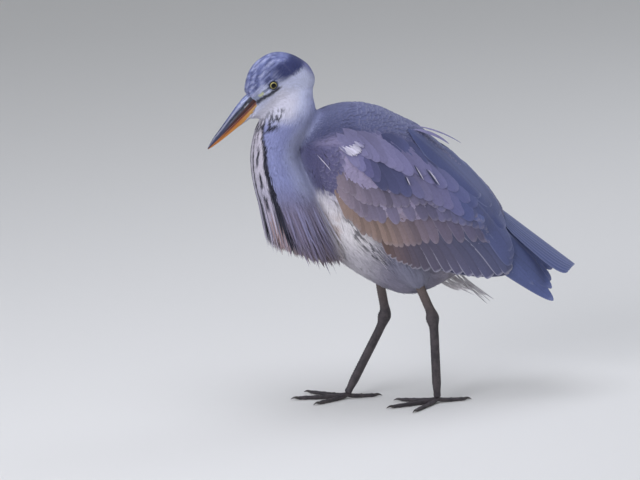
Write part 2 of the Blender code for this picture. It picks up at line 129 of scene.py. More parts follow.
right = Vector((math.cos(AZIMUTH), math.sin(AZIMUTH), 0))
back = Vector((
    math.sin(AZIMUTH) * math.cos(ELEVATION),
    -math.cos(AZIMUTH) * math.cos(ELEVATION),
    math.sin(ELEVATION),
))
camera = new_object("camera", bpy.data.cameras.new("camera"))
camera.data.lens = SENSOR * (DISTANCE - BIRD_NEARER) / WIDE
camera.data.clip_end = 60
camera.location = right * AIM_RIGHT + back.cross(right) * AIM_UP + back * DISTANCE
camera.rotation_euler = back.to_track_quat("Z", "Y").to_euler()
bpy.context.scene.camera = camera
print("camera height %.2f m, lens %.0f mm" % (camera.location.z, camera.data.lens))


# %% Colours and node helpers
def linear(hex_colour):
    """An sRGB hex colour as linear red, green, blue and alpha."""
    parts = [int(hex_colour[i : i + 2], 16) / 255 for i in (0, 2, 4)]
    return (*[c / 12.92 if c <= 0.04045 else ((c + 0.055) / 1.055) ** 2.4 for c in parts], 1.0)


def plug(tree, value, socket):
    """Feeds a socket from a node's first live output, from another socket, or with a plain value."""
    if isinstance(value, bpy.types.Node):
        value = next(out for out in value.outputs if out.enabled)
    if isinstance(value, bpy.types.NodeSocket):
        tree.links.new(value, socket)
    else:
        socket.default_value = value


def add(tree, kind, *values, **settings):
    """Adds one node with its settings and feeds its live inputs, in order or from a dict by name.
    A kind may end in a dot and one choice, such as the operation or the type of the data."""
    kind, _, choice = kind.partition(".")
    node = tree.nodes.new(kind)
    for setting in ("operation", "data_type", "input_type", "interpolation_type"):
        choices = node.bl_rna.properties.get(setting)
        if choices and choice in choices.enum_items:
            setattr(node, setting, choice)
    for name, value in settings.items():
        setattr(node, name, value)
    live = [socket for socket in node.inputs if socket.enabled]
    if values and isinstance(values[0], dict):
        for name, value in values[0].items():
            plug(tree, value, next(socket for socket in live if socket.name == name))
    else:
        for value, socket in zip(values, live):
            plug(tree, value, socket)
    return node


# Kinds of node that come up often, each with its choice.
TIMES, PLUS, MINUS = "ShaderNodeMath.MULTIPLY", "ShaderNodeMath.ADD", "ShaderNodeMath.SUBTRACT"
SCALED, SUM = "ShaderNodeVectorMath.SCALE", "ShaderNodeVectorMath.ADD"
MIXED, FADE, SPAN = "ShaderNodeMix.RGBA", "ShaderNodeMapRange.SMOOTHSTEP", "ShaderNodeMapRange"
NOISE, ATTRIBUTE, PLACE = "ShaderNodeTexNoise", "ShaderNodeAttribute", "ShaderNodeTexCoord"
SPLIT, COMBINED, BUMP = "ShaderNodeSeparateXYZ", "ShaderNodeCombineXYZ", "ShaderNodeBump"
NUMBER, ARROW = "GeometryNodeInputNamedAttribute.FLOAT", "GeometryNodeInputNamedAttribute.FLOAT_VECTOR"
CHANCE, REAL = "FunctionNodeRandomValue.FLOAT", "GeometryNodeRealizeInstances"


def new_material(name, **values):
    """A material and its tree and Principled shader, with constants on the shader's own sockets."""
    material = bpy.data.materials.new(name)
    material.use_nodes = True
    tree = material.node_tree
    shader = tree.nodes["Principled BSDF"]
    for socket, value in values.items():
        shader.inputs[socket.replace("_", " ")].default_value = value
    return material, tree, shader


# %% Floor, backdrop and lamps
# Matt painted board: a very even, pale surface with no gloss.
painted_board, tree, shader = new_material("matt painted board", Roughness=0.95, Specular_IOR_Level=0.2)
shader.inputs["Emission Color"].default_value = linear("E9EBEE")
mottle = add(tree, NOISE, {"Scale": 1.7, "Detail": 2.0})
shade = add(tree, MIXED, mottle, linear("DBD9D4"), linear("E0DED9"))
plug(tree, shade, shader.inputs["Base Color"])
# Far from the lamps it glows faintly, as a backdrop that is lit from behind, so it stays pale there.
from_middle = add(tree, "ShaderNodeVectorMath.LENGTH", add(tree, PLACE).outputs["Object"])
glow = add(tree, SPAN, from_middle, 3.0, 14.0, 0.0, 0.30)
plug(tree, glow, shader.inputs["Emission Strength"])

# A round floor that sweeps up into a wall far outside the camera's circle, so that every side of
# the bird can be looked at against it.
FLOOR_RADIUS, WALL_RADIUS, WALL_HEIGHT, AROUND = 17.0, 22.0, 9.0, 96
COVE = WALL_RADIUS - FLOOR_RADIUS  # radius of the bend between floor and wall
profile = [(r, 0.0) for r in (0.02, 2.0, 6.0, 11.0, FLOOR_RADIUS)]
for turn in np.linspace(0, math.pi / 2, 14)[1:]:
    profile.append((FLOOR_RADIUS + COVE * math.sin(turn), COVE * (1 - math.cos(turn))))
profile.append((WALL_RADIUS, WALL_HEIGHT))
turns = np.linspace(0, 2 * math.pi, AROUND, endpoint=False)
corners = [(r * math.cos(t), r * math.sin(t), h) for r, h in profile for t in turns]


def grid_faces(rows, columns, closed=False):
    """Quads between the points of a grid, kept row by row; closed joins each row's ends."""
    return [
        (
            i * columns + k, i * columns + (k + 1) % columns, (i + 1) * columns + (k + 1) % columns,
            (i + 1) * columns + k
        )
        for i in range(rows - 1)
        for k in range(columns if closed else columns - 1)
    ]


faces = grid_faces(len(profile), AROUND, closed=True)
sheet = bpy.data.meshes.new("floor_and_backdrop")
sheet.from_pydata(corners, [], [face[::-1] for face in faces] + [tuple(range(AROUND))])
sheet.shade_smooth()
backdrop = new_object("floor_and_backdrop", sheet, painted_board)

world = bpy.data.worlds.new("studio")
bpy.context.scene.world = world
world.use_nodes = True
air = world.node_tree.nodes["Background"].inputs
air["Color"].default_value, air["Strength"].default_value = linear("E6ECF5"), 0.30
LAMPS_AIM = Vector((0, 0, 0.35))  # the middle of the bird


def soft_lamp(name, place, size, power, colour):
    lamp = bpy.data.lights.new(name, "AREA")
    lamp.shape, lamp.size, lamp.energy = "DISK", size, power
    lamp.color = linear(colour)[:3]
    holder = new_object(name, lamp)
    holder.location = place
    holder.rotation_euler = (Vector(place) - LAMPS_AIM).to_track_quat("Z", "Y").to_euler()


soft_lamp("overhead_softbox", (0.2, -0.2, 3.0), 2.4, 52, "EDF1FF")
soft_lamp("key_softbox", (2.0, -2.6, 1.9), 1.8, 68, "F1F3FF")
soft_lamp("rear_softbox", (-1.2, 2.9, 1.9), 1.8, 28, "ECF1FF")
bpy.context.scene.view_settings.view_transform = "Standard"

# %% [markdown]
# ## The skin
# On the bird one skin runs from the face to the thighs, and the coat hides nearly all of it. It
# could be drawn by hand, but the solids already hold its outline. So copies of the solids of flesh
# are joined, a Remesh modifier melts them into one surface, and that surface sinks inwards by the
# depth of the coat. A second remesh clears any fold that the sinking made.

# %% Mesh tools
def vertices_of(mesh, layer="co"):
    """Places of a mesh's vertices in metres, or with "normal" the ways that they face."""
    source, key = (mesh.vertices, "co") if layer == "co" else (mesh.vertex_normals, "vector")
    values = np.empty(len(source) * 3, np.float32)
    source.foreach_get(key, values)
    return values.reshape(-1, 3).astype(float)


def put_vertices(mesh, places):
    """Moves a mesh's vertices to places in metres."""
    mesh.vertices.foreach_set("co", places.astype(np.float32).ravel())
    mesh.update()


def new_mesh(name, points, faces):
    mesh = bpy.data.meshes.new(name)
    mesh.from_pydata(points, [], faces)
    return mesh


def pattern(name, mesh):
    """A helper object that trees read, which neither renders nor stays."""
    maker = new_object(name, mesh)
    maker.hide_render = True
    return maker


def face_outwards(mesh):
    turned = bmesh.new()
    turned.from_mesh(mesh)
    bmesh.ops.recalc_face_normals(turned, faces=turned.faces)
    turned.to_mesh(mesh)
    turned.free()


def settle(piece, slot, *nodes):
    """The piece rides on the bird's one body and may stand for solids; slot is not used."""
    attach(piece, "root")
    if nodes:
        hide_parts(*nodes)
    return piece


def edges_of(mesh):
    pairs = np.empty(len(mesh.edges) * 2, np.int32)
    mesh.edges.foreach_get("vertices", pairs)
    return pairs.reshape(-1, 2)


def smoothed(values, pairs, rounds, share=0.5):
    """Averages each vertex's values with its neighbours', round after round."""
    count = np.bincount(pairs.ravel(), minlength=len(values)).clip(1)[:, None]
    here, there = np.vstack((pairs, pairs[:, ::-1])).T
    for _ in range(rounds):
        total = np.stack([np.bincount(here, column[there], len(values)) for column in values.T], 1)
        values = values + share * (total / count - values)
    return values


def evaluated_mesh(piece):
    """The piece's mesh with its modifiers applied, after which it has none."""
    graph = bpy.context.evaluated_depsgraph_get()
    made = bpy.data.meshes.new_from_object(piece.evaluated_get(graph), depsgraph=graph)
    piece.modifiers.clear()
    old, piece.data = piece.data, made
    bpy.data.meshes.remove(old)
    return made


def remeshed(piece, size):
    modifier = piece.modifiers.new("one_surface", "REMESH")
    modifier.mode, modifier.voxel_size, modifier.use_smooth_shade = "VOXEL", size * MM, True
    return evaluated_mesh(piece)


def joined_copy(name, nodes, swell=0.0):
    """One object from merged copies of CAD nodes, each swollen a little so that neighbours overlap."""
    whole = bmesh.new()
    for node in nodes:
        part = bmesh.new()
        part.from_mesh(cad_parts[node].data)
        bmesh.ops.remove_doubles(part, verts=part.verts, dist=0.01 * MM)
        part.normal_update()
        for vertex in part.verts:
            vertex.co += vertex.normal * swell * MM
        copy = bpy.data.meshes.new(node)
        part.to_mesh(copy)
        part.free()
        whole.from_mesh(copy)
        bpy.data.meshes.remove(copy)
    mesh = bpy.data.meshes.new(name)
    whole.to_mesh(mesh)
    whole.free()
    return new_object(name, mesh)


# %% Which part of the body a point is on
PARTS = {
    "head": ["head"],
    "neck": ["neck_upper", "neck_lower"],
    "trunk": ["trunk"],
    "wing": ["wing_left_coverts", "wing_right_coverts"],
    "thigh": ["thigh_left", "thigh_right"],
}
trees = {}
for part, nodes in PARTS.items():
    helper = joined_copy("measure_" + part, nodes)
    shape = helper.data
    shape.calc_loop_triangles()
    corners = [v.co.copy() for v in shape.vertices]
    trees[part] = BVHTree.FromPolygons(corners, [tuple(t.vertices) for t in shape.loop_triangles])
    bpy.data.objects.remove(helper)
    bpy.data.meshes.remove(shape)


def part_shares(points, soft=4.0):
    """For each point in millimetres, how much it belongs to each part, from how near that part is."""
    away = {}
    for part, tree in trees.items():
        away[part] = np.array([tree.find_nearest(Vector(p * MM))[3] for p in points]) / MM
    least = np.min(list(away.values()), axis=0)
    weights = {part: np.exp(-(d - least) / soft) for part, d in away.items()}
    total = sum(weights.values())
    return {part: w / total for part, w in weights.items()}


# %% Melt, sink and smooth the skin
SKIN_VOXEL = 2.6
COAT_DEPTH = {"head": 1.7, "neck": 4.5, "trunk": 6.0, "wing": 4.5, "thigh": 4.0}
NECK_FOLD, FOLD_FROM, FOLD_TO = np.array((27, -167, 460)), 16, 40  # where the neck leaves the shoulder
FLESH = [node for nodes in PARTS.values() for node in nodes]

skin = joined_copy("skin", FLESH, swell=0.8)
mesh = remeshed(skin, 3.2)
pairs, places = edges_of(mesh), vertices_of(mesh)
places = smoothed(places, pairs, 10)
put_vertices(mesh, places)
shares = part_shares(places / MM)
sink = sum(shares[part] * depth for part, depth in COAT_DEPTH.items())
sink = smoothed(sink[:, None], pairs, 12)
facing = smoothed(vertices_of(mesh, "normal"), pairs, 3)
places = places - unit(facing) * sink * MM
put_vertices(mesh, places)
mesh = remeshed(skin, SKIN_VOXEL)

# Only the largest closed body is kept.
body = bmesh.new()
body.from_mesh(mesh)
left, groups = set(body.verts), []
while left:
    group, front = set(), [left.pop()]
    while front:
        vertex = front.pop()
        group.add(vertex)
        for edge in vertex.link_edges:
            other = edge.other_vert(vertex)
            if other in left:
                left.remove(other)
                front.append(other)
    groups.append(group)
groups.sort(key=len)
for group in groups[:-1]:
    bmesh.ops.delete(body, geom=list(group), context="VERTS")
body.to_mesh(mesh)
body.free()
pairs = edges_of(mesh)
places = smoothed(vertices_of(mesh), pairs, 6)
# The fold between the neck and the shoulder is filled, as loose skin and down fill it on the bird.
away = np.linalg.norm(np.abs(places / MM * (1, 0, 0)) + places / MM * (0, 1, 1) - NECK_FOLD, axis=1)
share = ramp(-away, -FOLD_TO, -FOLD_FROM)[:, None]
places = places * (1 - share) + smoothed(places, pairs, 90) * share
put_vertices(mesh, places)
print("skin:", len(mesh.vertices), "vertices,", len(groups) - 1, "loose bits removed")

# %% [markdown]
# ### Lids
# Round the eye the skin thickens into a lid that lies on the ball, and dips under it inside. The
# bare lore in front is pebbled. The lid is too fine for the body's mesh, so the face is cut finer
# first, then moved along the eye's own axis.

# %% Lids
LID_EDGE, LID_RIDGE, LID_REACH = 6.1, 7.5, 10.5  # radii round the eye's axis in mm
FACE_FINE = 19  # how far from the eye the skin is cut finer, in mm
LID_THICK, LID_SWELL = 0.7, 0.8  # on the ball in mm, and how much more at the ridge
LID_UNDER = 1.6  # how deep the skin dips under the ball inside the lids, in mm
LID_LONG = 0.10  # how much longer than tall the opening is
LID_DARK = (7.2, 8.2)  # where the dark rim fades out
face = bmesh.new()
face.from_mesh(mesh)
for _ in range(2):
    seats = [Vector(eye_seat(sign)[0] * MM) for _, sign in SIDES]
    near = [e for e in face.edges if min((e.verts[0].co - s).length for s in seats) < FACE_FINE * MM]
    bmesh.ops.subdivide_edges(face, edges=near, cuts=1, use_grid_fill=True)
bmesh.ops.triangulate(face, faces=[f for f in face.faces if len(f.verts) > 4])
face.to_mesh(mesh)
face.free()
places = vertices_of(mesh) / MM
lid_share = np.zeros(len(places))  # 1 on the lids' rims
for _, sign in SIDES:
    centre, axis = eye_seat(sign)
    away = places - centre
    out = away @ axis
    flat = away - out[:, None] * axis
    stretch = 1 - LID_LONG * (flat @ HEAD_BACK / np.linalg.norm(flat, axis=1).clip(0.01)) ** 4
    radius = np.linalg.norm(flat, axis=1) * stretch
    near = (out > 0) & (radius < LID_REACH)
    snap = near & (np.abs(radius - LID_EDGE) < 0.4)
    flat[snap] *= (LID_EDGE / radius[snap])[:, None]
    radius[snap] = LID_EDGE
    ball = np.sqrt((EYE_RADIUS**2 - radius**2).clip(0))
    lid = ball + LID_THICK * (1 + LID_SWELL * ramp(radius, LID_EDGE, LID_RIDGE))
    lid = np.where(radius < LID_EDGE - 0.05, ball - LID_UNDER, lid)
    share = ramp(-radius, -LID_REACH, -LID_RIDGE)
    out = np.where(near, out + (lid - out) * share, out)
    places = np.where(near[:, None], centre + flat + out[:, None] * axis, places)
    lid_share = np.where(near, ramp(-radius, -LID_DARK[1], -LID_DARK[0]), lid_share)
put_vertices(mesh, places * MM)
mesh.shade_smooth()
pairs = edges_of(mesh)
print("skin with lids:", len(mesh.vertices), "vertices")

# %% [markdown]
# ## Lie, length and markings
# A coat needs to know three things at every place on the skin: which way its feathers point, how
# long and wide they grow, and what colour they are. A bird keeper would comb and measure; here each
# is worked out from a point's place on the head, neck, trunk, wing or thigh, and stored on the skin
# as attributes. Skin and feathers read the same markings, so a gap never shows a wrong colour.

# %% Which way the feathers lie
NECK_LINE = np.array((
    (287, -151), (308, -160), (336, -170), (368, -180), (400, -192), (430, -203), (456, -209),
    (476, -204), (496, -194), (514, -184), (528, -177), (546, -172), (566, -167),
))  # height and distance behind the origin of the neck's middle
NECK_HALF = np.array((
    (287, 48, 53), (308, 53, 56), (336, 55, 56), (368, 54, 54), (400, 51, 50), (430, 47, 44),
    (456, 43, 38), (476, 39, 40), (496, 37, 46), (514, 35, 48), (528, 32, 44), (546, 26, 36),
))  # height, half width and half depth
BACK_LINE = np.array((
    (-160, 486), (-130, 525), (-98, 535), (-60, 537), (-20, 527), (20, 506), (56, 486), (96, 447),
    (136, 414), (172, 378), (200, 336),
))
BELLY_LINE = np.array((
    (-160, 420), (-130, 320), (-98, 262), (-60, 232), (-20, 206), (20, 189), (56, 188), (96, 206),
    (136, 227), (172, 256), (200, 284),
))


def slope(line, at, step=12.0):
    """Rise over run of a row of (where, value) at some places."""
    return (np.interp(at + step, *line.T) - np.interp(at - step, *line.T)) / (2 * step)


def compass(back_share, down_share):
    """Directions in the bird's length and height only."""
    back_share, down_share = np.broadcast_arrays(back_share, down_share)
    return unit(np.stack((0 * back_share, back_share, -down_share), -1))


def body_level(y, z):
    """0 on the belly's line and 1 on the back's, at places in the bird's length and height."""
    low, high = np.interp(y, *BELLY_LINE.T), np.interp(y, *BACK_LINE.T)
    return (z - low) / (high - low)


places = vertices_of(skin.data) / MM
facing = vertices_of(skin.data, "normal")
shares = part_shares(places)
x, y, z = places.T
side = np.abs(x)
along, height = head_place(places)
level = body_level(y, z)

turn_down = np.maximum(ramp(along, 165, 212), ramp(-height, 8, 50))[:, None]
head_lie = unit(HEAD_BACK * (1 - turn_down) + np.array((0, 0.02, -1.0)) * turn_down)
neck_lie = compass(-slope(NECK_LINE, z), np.ones_like(z))
back_lie = compass(1.0, -slope(BACK_LINE, y) + 0.25)
belly_lie = compass(1.0, -slope(BELLY_LINE, y).clip(-2.5, 0.4))
flank_lie = compass(0.75, 0.7 + 1.2 * ramp(-y, 40, 130))
upper = ramp(level, 0.55, 0.9)[:, None]
under = ramp(-level, -0.32, -0.08)[:, None]
trunk_lie = unit(back_lie * upper + belly_lie * under + flank_lie * (1 - upper - under).clip(0, 1))
sweep = np.radians(np.interp(y, (-130, -40, 60, 170), (18, 30, 42, 52)) + 22 * ramp(z, 400, 480))
wing_lie = compass(np.sin(sweep), np.cos(sweep))
thigh_lie = compass(0.12, np.ones_like(z))
lies = {"head": head_lie, "neck": neck_lie, "trunk": trunk_lie, "wing": wing_lie, "thigh": thigh_lie}
lie = sum(shares[part][:, None] * way for part, way in lies.items())
for _ in range(6):
    lie = lie - facing * (lie * facing).sum(1, keepdims=True)
    lie = smoothed(unit(lie), pairs, 4)
lie = unit(lie - facing * (lie * facing).sum(1, keepdims=True))
print("feathers lie, on the mean, towards", lie.mean(0).round(2))

# %% [markdown]
# ## The markings of a first-winter bird
# A young grey heron is ashy lilac-grey with a slate crown, pale cheeks and throat, black streaks
# down a white foreneck, a dark patch at the bend of the wing, white flanks and a brown wash on the
# wing coverts. The colours are mixed from one another by soft ramps, as a painter glazes.
# A few of the glazes are painted shade or painted light, and say so where they stand.

# %% Markings
def inks(**codes):
    """Named sRGB hex colours as linear ones."""
    return {name: np.array(linear(code)[:3]) for name, code in codes.items()}


INK = inks(
    crown="7C84B3", crown_rear="353B68", nape="686A9A", cheek="C8CCE6", throat="D2D0DE", lore="CDD1A2",
    neck="8F94C1", neck_low="766D83", streak="1A1A2B", white="CFC9D6", rust="A5795F", plume="8B7B77",
    mantle="4A4E75", mantle_front="3D4166", carpal="4E4C70", flank="F0EBEE", belly="827E90",
    thigh="828398", vent="B5AFB4", lesser="9D93B2", brown="86736F", rear_wing="5D6088",
    lore_grey="7F86A0", dark_line="20212E",
)


def plain(points, ink):
    """One ink at every point."""
    return np.tile(INK[ink], (len(points), 1))


def glaze(colour, *layers):
    """Lays named colours over another, each by a share at every point, as (name, share) pairs."""
    for ink, share in layers:
        share = np.asarray(share)[:, None]
        colour = colour * (1 - share) + INK[ink] * share
    return colour


def band(value, middle, half, soft):
    """1 within half of a middle value and 0 beyond, over a soft edge."""
    return 1 - ramp(np.abs(value - middle), half, half + soft)


def wander(points, size, seed=0.0):
    """A cheap smooth noise between about -1 and 1, from a few sine waves of one size in mm."""
    a, b, c = (points / size).T
    return (
        np.sin(a * 1.7 + 2.1 * np.sin(b * 1.3 + seed) + seed)
        + np.sin(b * 2.3 + 1.7 * np.sin(c * 1.9 + seed * 2) + 1.3)
        + np.sin(c * 2.1 + 1.9 * np.sin(a * 1.1 + seed * 3) + 2.7)
    ) / 3


def paint_head(p, along, height):
    throat = ramp(-height, 4, 22) * ramp(-along, -180, -150)
    crown_edge = np.interp(along, (100, 118, 140, 160, 190, 217), (2, 8, 9, 4, -3, -12))
    crown = ramp(height - crown_edge, -1, 2)
    fine = np.column_stack((along * 0.12, height, p[:, 0]))
    streaks = wander(fine, 1.7, 0.4) * crown * ramp(-along, -212, -186)
    rear = ramp(along, 154, 184) * band(height - crown_edge - 0.10 * (along - 160), 5, 10, 9)
    front = band(height, crown_edge + 2, 3.5, 3) * ramp(along, 112, 118) * ramp(-along, -152, -142)
    line = np.interp(along, (116, 126, 140, 156, 164), (-1, -2, -6.5, -10, -11))
    thick = np.interp(along, (116, 128, 150, 166), (3.2, 3.4, 2.4, 0.7))
    eye_line = band(height, line, thick, 0.9) * ramp(along, 110, 116) * ramp(-along, -168, -158)
    return glaze(
        plain(p, "cheek"), ("throat", throat), ("crown", crown),
        ("cheek", ramp(streaks, 0.18, 0.4) * 0.5), ("crown_rear", ramp(-streaks, 0.06, 0.3) * 0.7),
        ("crown_rear", rear), ("cheek", front * 0.5),
        ("nape", ramp(along, 208, 222) * ramp(-height, 6, 16)), ("dark_line", eye_line * 0.95),
    )


def paint_neck(p, theta):
    """theta is the angle round the neck, in degrees from its front."""
    z = p[:, 2]
    colour = glaze(
        plain(p, "neck"), ("neck_low", ramp(-z, -430, -350)), ("plume", ramp(-z, -350, -290) * 0.85)
    )
    locks = wander(np.column_stack((theta * 0.9, z * 0.10, 0 * z)), 6.0, 3.0) * ramp(-z, -420, -360)
    # The white front fans out towards the throat, and the stripes keep to it.
    fan = np.interp(
        z, (505, 514, 524, 536), (1, 0.75, 0.5, 0.35)
    ) * np.interp(z, (466, 486, 505), (1.0, 0.72, 0.5))
    front = theta / fan
    white = ramp(-front, -60, -50) * ramp(z, 285, 330) * (0.22 + 0.78 * ramp(z, 335, 440))
    dashes = ramp(np.sin(z / 6.5 + 2.0 * wander(p, 24, 7.0)) + 0.7, -0.1, 0.2)
    main_wide = np.interp(z, (330, 420), (3.4, 5.2))
    main = band(
        front + 3.0 * wander(p, 16, 5.0), 53, main_wide, 1.6
    ) * ramp(z, 326, 350) * ramp(-z, -530, -512)
    second = band(front + 3.0 * wander(p, 14, 2.0), 31, 2.6, 1.4) * dashes * ramp(z, 320, 350)
    third = band(front + 3.0 * wander(p, 12, 3.0), 10, 2.8, 1.4) * ramp(z, 335, 360)
    rust = band(front, 38, 8, 10) * band(z, 345, 28, 22) * 0.5 * ramp(wander(p, 14, 4.0), -0.3, 0.5)
    flecks = ramp(
        wander(p * (1, 1, 0.4), 2.6, 6.0), -0.08, 0.06
    ) * band(z, 516, 16, 6) * ramp(-theta, -72, -52)
    return glaze(
        colour * (1 + 0.24 * locks[:, None]),
        ("cheek", ramp(z, 500, 545) * ramp(-theta, -165, -90)),
        # Painted light: the rear of the neck, darkened by its own shade, is glazed paler with the cheek's
        # ink.
        ("cheek", ramp(theta, 85, 130) * band(z, 450, 40, 40) * 0.5),
        ("white", white), ("throat", ramp(z, 505, 530) * ramp(-theta, -110, -70)), ("rust", rust),
        ("streak", main.clip(0, 1)), ("streak", second.clip(0, 1)), ("streak", third.clip(0, 1)),
        ("streak", flecks),
    )


def paint_trunk(p, level):
    x, y, z = p.T
    lower = ramp(-z, -405, -375) * ramp(-y, -10, 30)
    # Painted shadow: dark streaks of shade between the feathers, along the line where the wing's front edge
    # lies on the flank.
    gap = z - np.interp(y, (-89, -78, -59, -41, -10), (343, 327, 303, 284, 269))
    slanted = np.column_stack((x, 0.87 * y + 0.5 * z, 0.22 * z - 0.12 * y))
    gap_shadows = ramp(wander(slanted, 3.4, 8.0), -0.1, 0.15) * band(gap, -5, 7, 5) * band(y, -50, 38, 12)
    rust = band(y, -112, 8, 12) * band(z, 308, 28, 22) * ramp(wander(p, 9, 2.0), -0.3, 0.4) * 0.45
    return glaze(
        # Painted shade: the mantle's front is darker towards the crease where the neck joins it.
        plain(p, "mantle"), ("mantle_front", ramp(-y, 80, 125)),
        ("carpal", ramp(-y, 100, 120) * band(z, 430, 34, 16) * 0.85),
        # Painted light: the top of the back is glazed a little paler, where the light falls on it.
        ("cheek", ramp(level, 0.8, 0.98) * ramp(-y, -60, 0) * 0.08),
        ("carpal", ramp(y, 60, 120) * ramp(level, 0.5, 0.7) * 0.5),
        # Darker towards the bottom: partly the belly's own grey, partly painted shade under the body.
        ("flank", lower), ("belly", lower * ramp(-z, -315, -262) * 0.55),
        ("belly", ramp(y, -70, 0) * ramp(-level, -0.55, -0.35)),
        ("vent", ramp(y, 70, 130) * ramp(-level, -0.45, -0.25)), ("rust", rust), ("dark_line", gap_shadows * 0.75),
    )


def paint_wing(p):
    x, y, z = p.T
    return glaze(
        plain(p, "lesser"), ("brown", ramp(-z, -385, -340) * ramp(-y, -40, 20) * 0.7),
        ("rear_wing", ramp(y, 20, 110) * 0.85),
        ("carpal", ramp(-y, 100, 112) * ramp(z, 380, 398) * ramp(-z, -478, -466) * 0.9),
        ("white", band(y, -84, 14, 5) * band(z - 0.1 * (y + 84), 474, 6, 4)),
        ("white", band(y + 0.6 * (z - 378), -110, 7, 6) * band(z, 378, 12, 10)),
    )


def markings(p, shares):
    """Linear colour of the coat at points in millimetres, with the painted shade and light that it holds."""
    x, y, z = p.T
    along, height = head_place(p)
    middle = np.interp(z, *NECK_LINE.T)
    half_width, half_depth = (np.interp(z, NECK_HALF[:, 0], NECK_HALF[:, k]) for k in (1, 2))
    theta = np.degrees(np.arctan2(np.abs(x) / half_width, (middle - y) / half_depth))
    painted = {
        "head": paint_head(p, along, height),
        "neck": paint_neck(p, theta),
        "trunk": paint_trunk(p, body_level(y, z)),
        "wing": paint_wing(p),
        "thigh": glaze(plain(p, "thigh"), ("belly", ramp(z, 250, 300))),
    }
    return sum(shares[part][:, None] * colour for part, colour in painted.items())


colour = markings(places, shares)
print("markings on", len(colour), "points")

# %% Where feathers grow, and how long and wide they are
on_face = shares["head"] > 0.3
eye_away = np.hypot(*(np.array(head_place(places)) - np.array((EYE_AT, 1))[:, None]))
lore_middle, lore_half = np.interp(along, (108, 150), (7, 2)), np.interp(along, (108, 150), (5.0, 2.0))
feather_edge = np.interp(height, (-11, -9.5, -7, -4, 0, 12, 18), (62, 80, 100, 116, 119, 113, 107))
near_eye = (lid_share > 0.5) | ((eye_away < LID_RIDGE) & on_face)
lore = on_face & (along < 148) & (np.abs(height - lore_middle) < lore_half)
bare = near_eye | lore | (on_face & (along < feather_edge))
yellow = band(along, 130, 3.5, 3) * band(height, lore_middle - 0.5, 2.2, 1.5)
colour = glaze(
    colour, ("lore_grey", lore * 0.9), ("lore", lore * yellow * 0.85), ("dark_line", lid_share * 0.85)
)

# Hems as (behind, height): of the folded wing, and of the breast plumes.
WING_HEM = ((-100, 352), (-50, 310), (-12, 268), (43, 248), (85, 238), (127, 228), (165, 222), (200, 214))
PLUME_HEM = ((-206, 296), (-191, 285), (-172, 271), (-143, 258), (-120, 262), (-95, 256))
over_wing_hem, over_plume_hem = (z - np.interp(y, *zip(*hem)) for hem in (WING_HEM, PLUME_HEM))
under_wing = shares["trunk"] * ramp(over_wing_hem, -14, 4) * ramp(side, 18, 44) * ramp(y, -115, -95)
hidden = (over_wing_hem > np.where(x > 0, 12, 26)) & (side > 25) & (y > -80) & (level < 0.5)

# Lengths and widths of the feathers in millimetres.
head_long = 5.5 + 5.5 * ramp(along, 112, 185) + 2.5 * ramp(-height, 15, 45)
head_long = head_long * (0.45 + 0.55 * ramp(eye_away, 8, 20)) * (
    0.6 + 0.4 * ramp(along - feather_edge, 0, 12)
)
neck_long = 14 + 7 * ramp(-z, -520, -420)
trunk_long = np.interp(y, (-125, -80, -20, 60), (20, 22, 27, 40)) - 6 * ramp(-level, -0.4, -0.15)
trunk_wide = np.interp(y, (-125, -80, -20, 60), (12, 12, 14, 17))
wing_front = ramp(-y, 60, 120)
LENGTHS = {
    "head": head_long, "neck": neck_long, "trunk": trunk_long, "wing": 26 - 6 * wing_front, "thigh": 24
}
WIDTHS = {"head": 1.15, "neck": 1.5, "trunk": trunk_wide, "wing": 13 - 4 * wing_front, "thigh": 4.5}
long, wide = (sum(shares[part] * size for part, size in table.items()) for table in (LENGTHS, WIDTHS))
print("feathers lie from %.1f to %.1f mm long" % (long.min(), long.max()))

# A feather shows where its outer part lies, so it takes the marking from there and not from its root.
SHOWN = 0.6
ahead = places + lie * long[:, None] * SHOWN
feather_colour = markings(ahead, part_shares(ahead))

# %% [markdown]
# ## Unwrapping the skin
# Each feather takes its place on the finished map from where its quill stands on an unwrap of the
# skin. The seams can fall anywhere under the coat, so Smart UV Project cuts them by angle.

# %% Store the fields and the unwrap on the skin
def store(mesh, name, values, kind="FLOAT_VECTOR", domain="POINT"):
    """Keeps values on a mesh as a named attribute."""
    key = {"FLOAT_VECTOR": "vector", "FLOAT": "value", "FLOAT_COLOR": "color"}[kind]
    values = np.asarray(values, np.float32)
    if kind == "FLOAT_COLOR" and values.shape[1] == 3:
        values = np.column_stack((values, np.ones(len(values), np.float32)))
    layer = mesh.attributes.get(name) or mesh.attributes.new(name, kind, domain)
    layer.data.foreach_set(key, np.ascontiguousarray(values, np.float32).ravel())


bpy.context.view_layer.objects.active = skin
skin.select_set(True)
bpy.ops.object.mode_set(mode="EDIT")
bpy.ops.mesh.select_all(action="SELECT")
bpy.ops.uv.smart_project(angle_limit=math.radians(66), island_margin=0.004)
bpy.ops.object.mode_set(mode="OBJECT")
skin.select_set(False)
mesh = skin.data
mesh.uv_layers[0].name = "OFBake"
chart = np.empty(len(mesh.loops) * 2, np.float32)
mesh.uv_layers["OFBake"].data.foreach_get("uv", chart)
corner_vertex = np.empty(len(mesh.loops), np.int32)
mesh.loops.foreach_get("vertex_index", corner_vertex)
skin_map = np.zeros((len(mesh.vertices), 3))
skin_map[corner_vertex, :2] = chart.reshape(-1, 2)
skin_points = KDTree(len(places))
for i, place in enumerate(places):
    skin_points.insert(Vector(place * MM), i)
skin_points.balance()

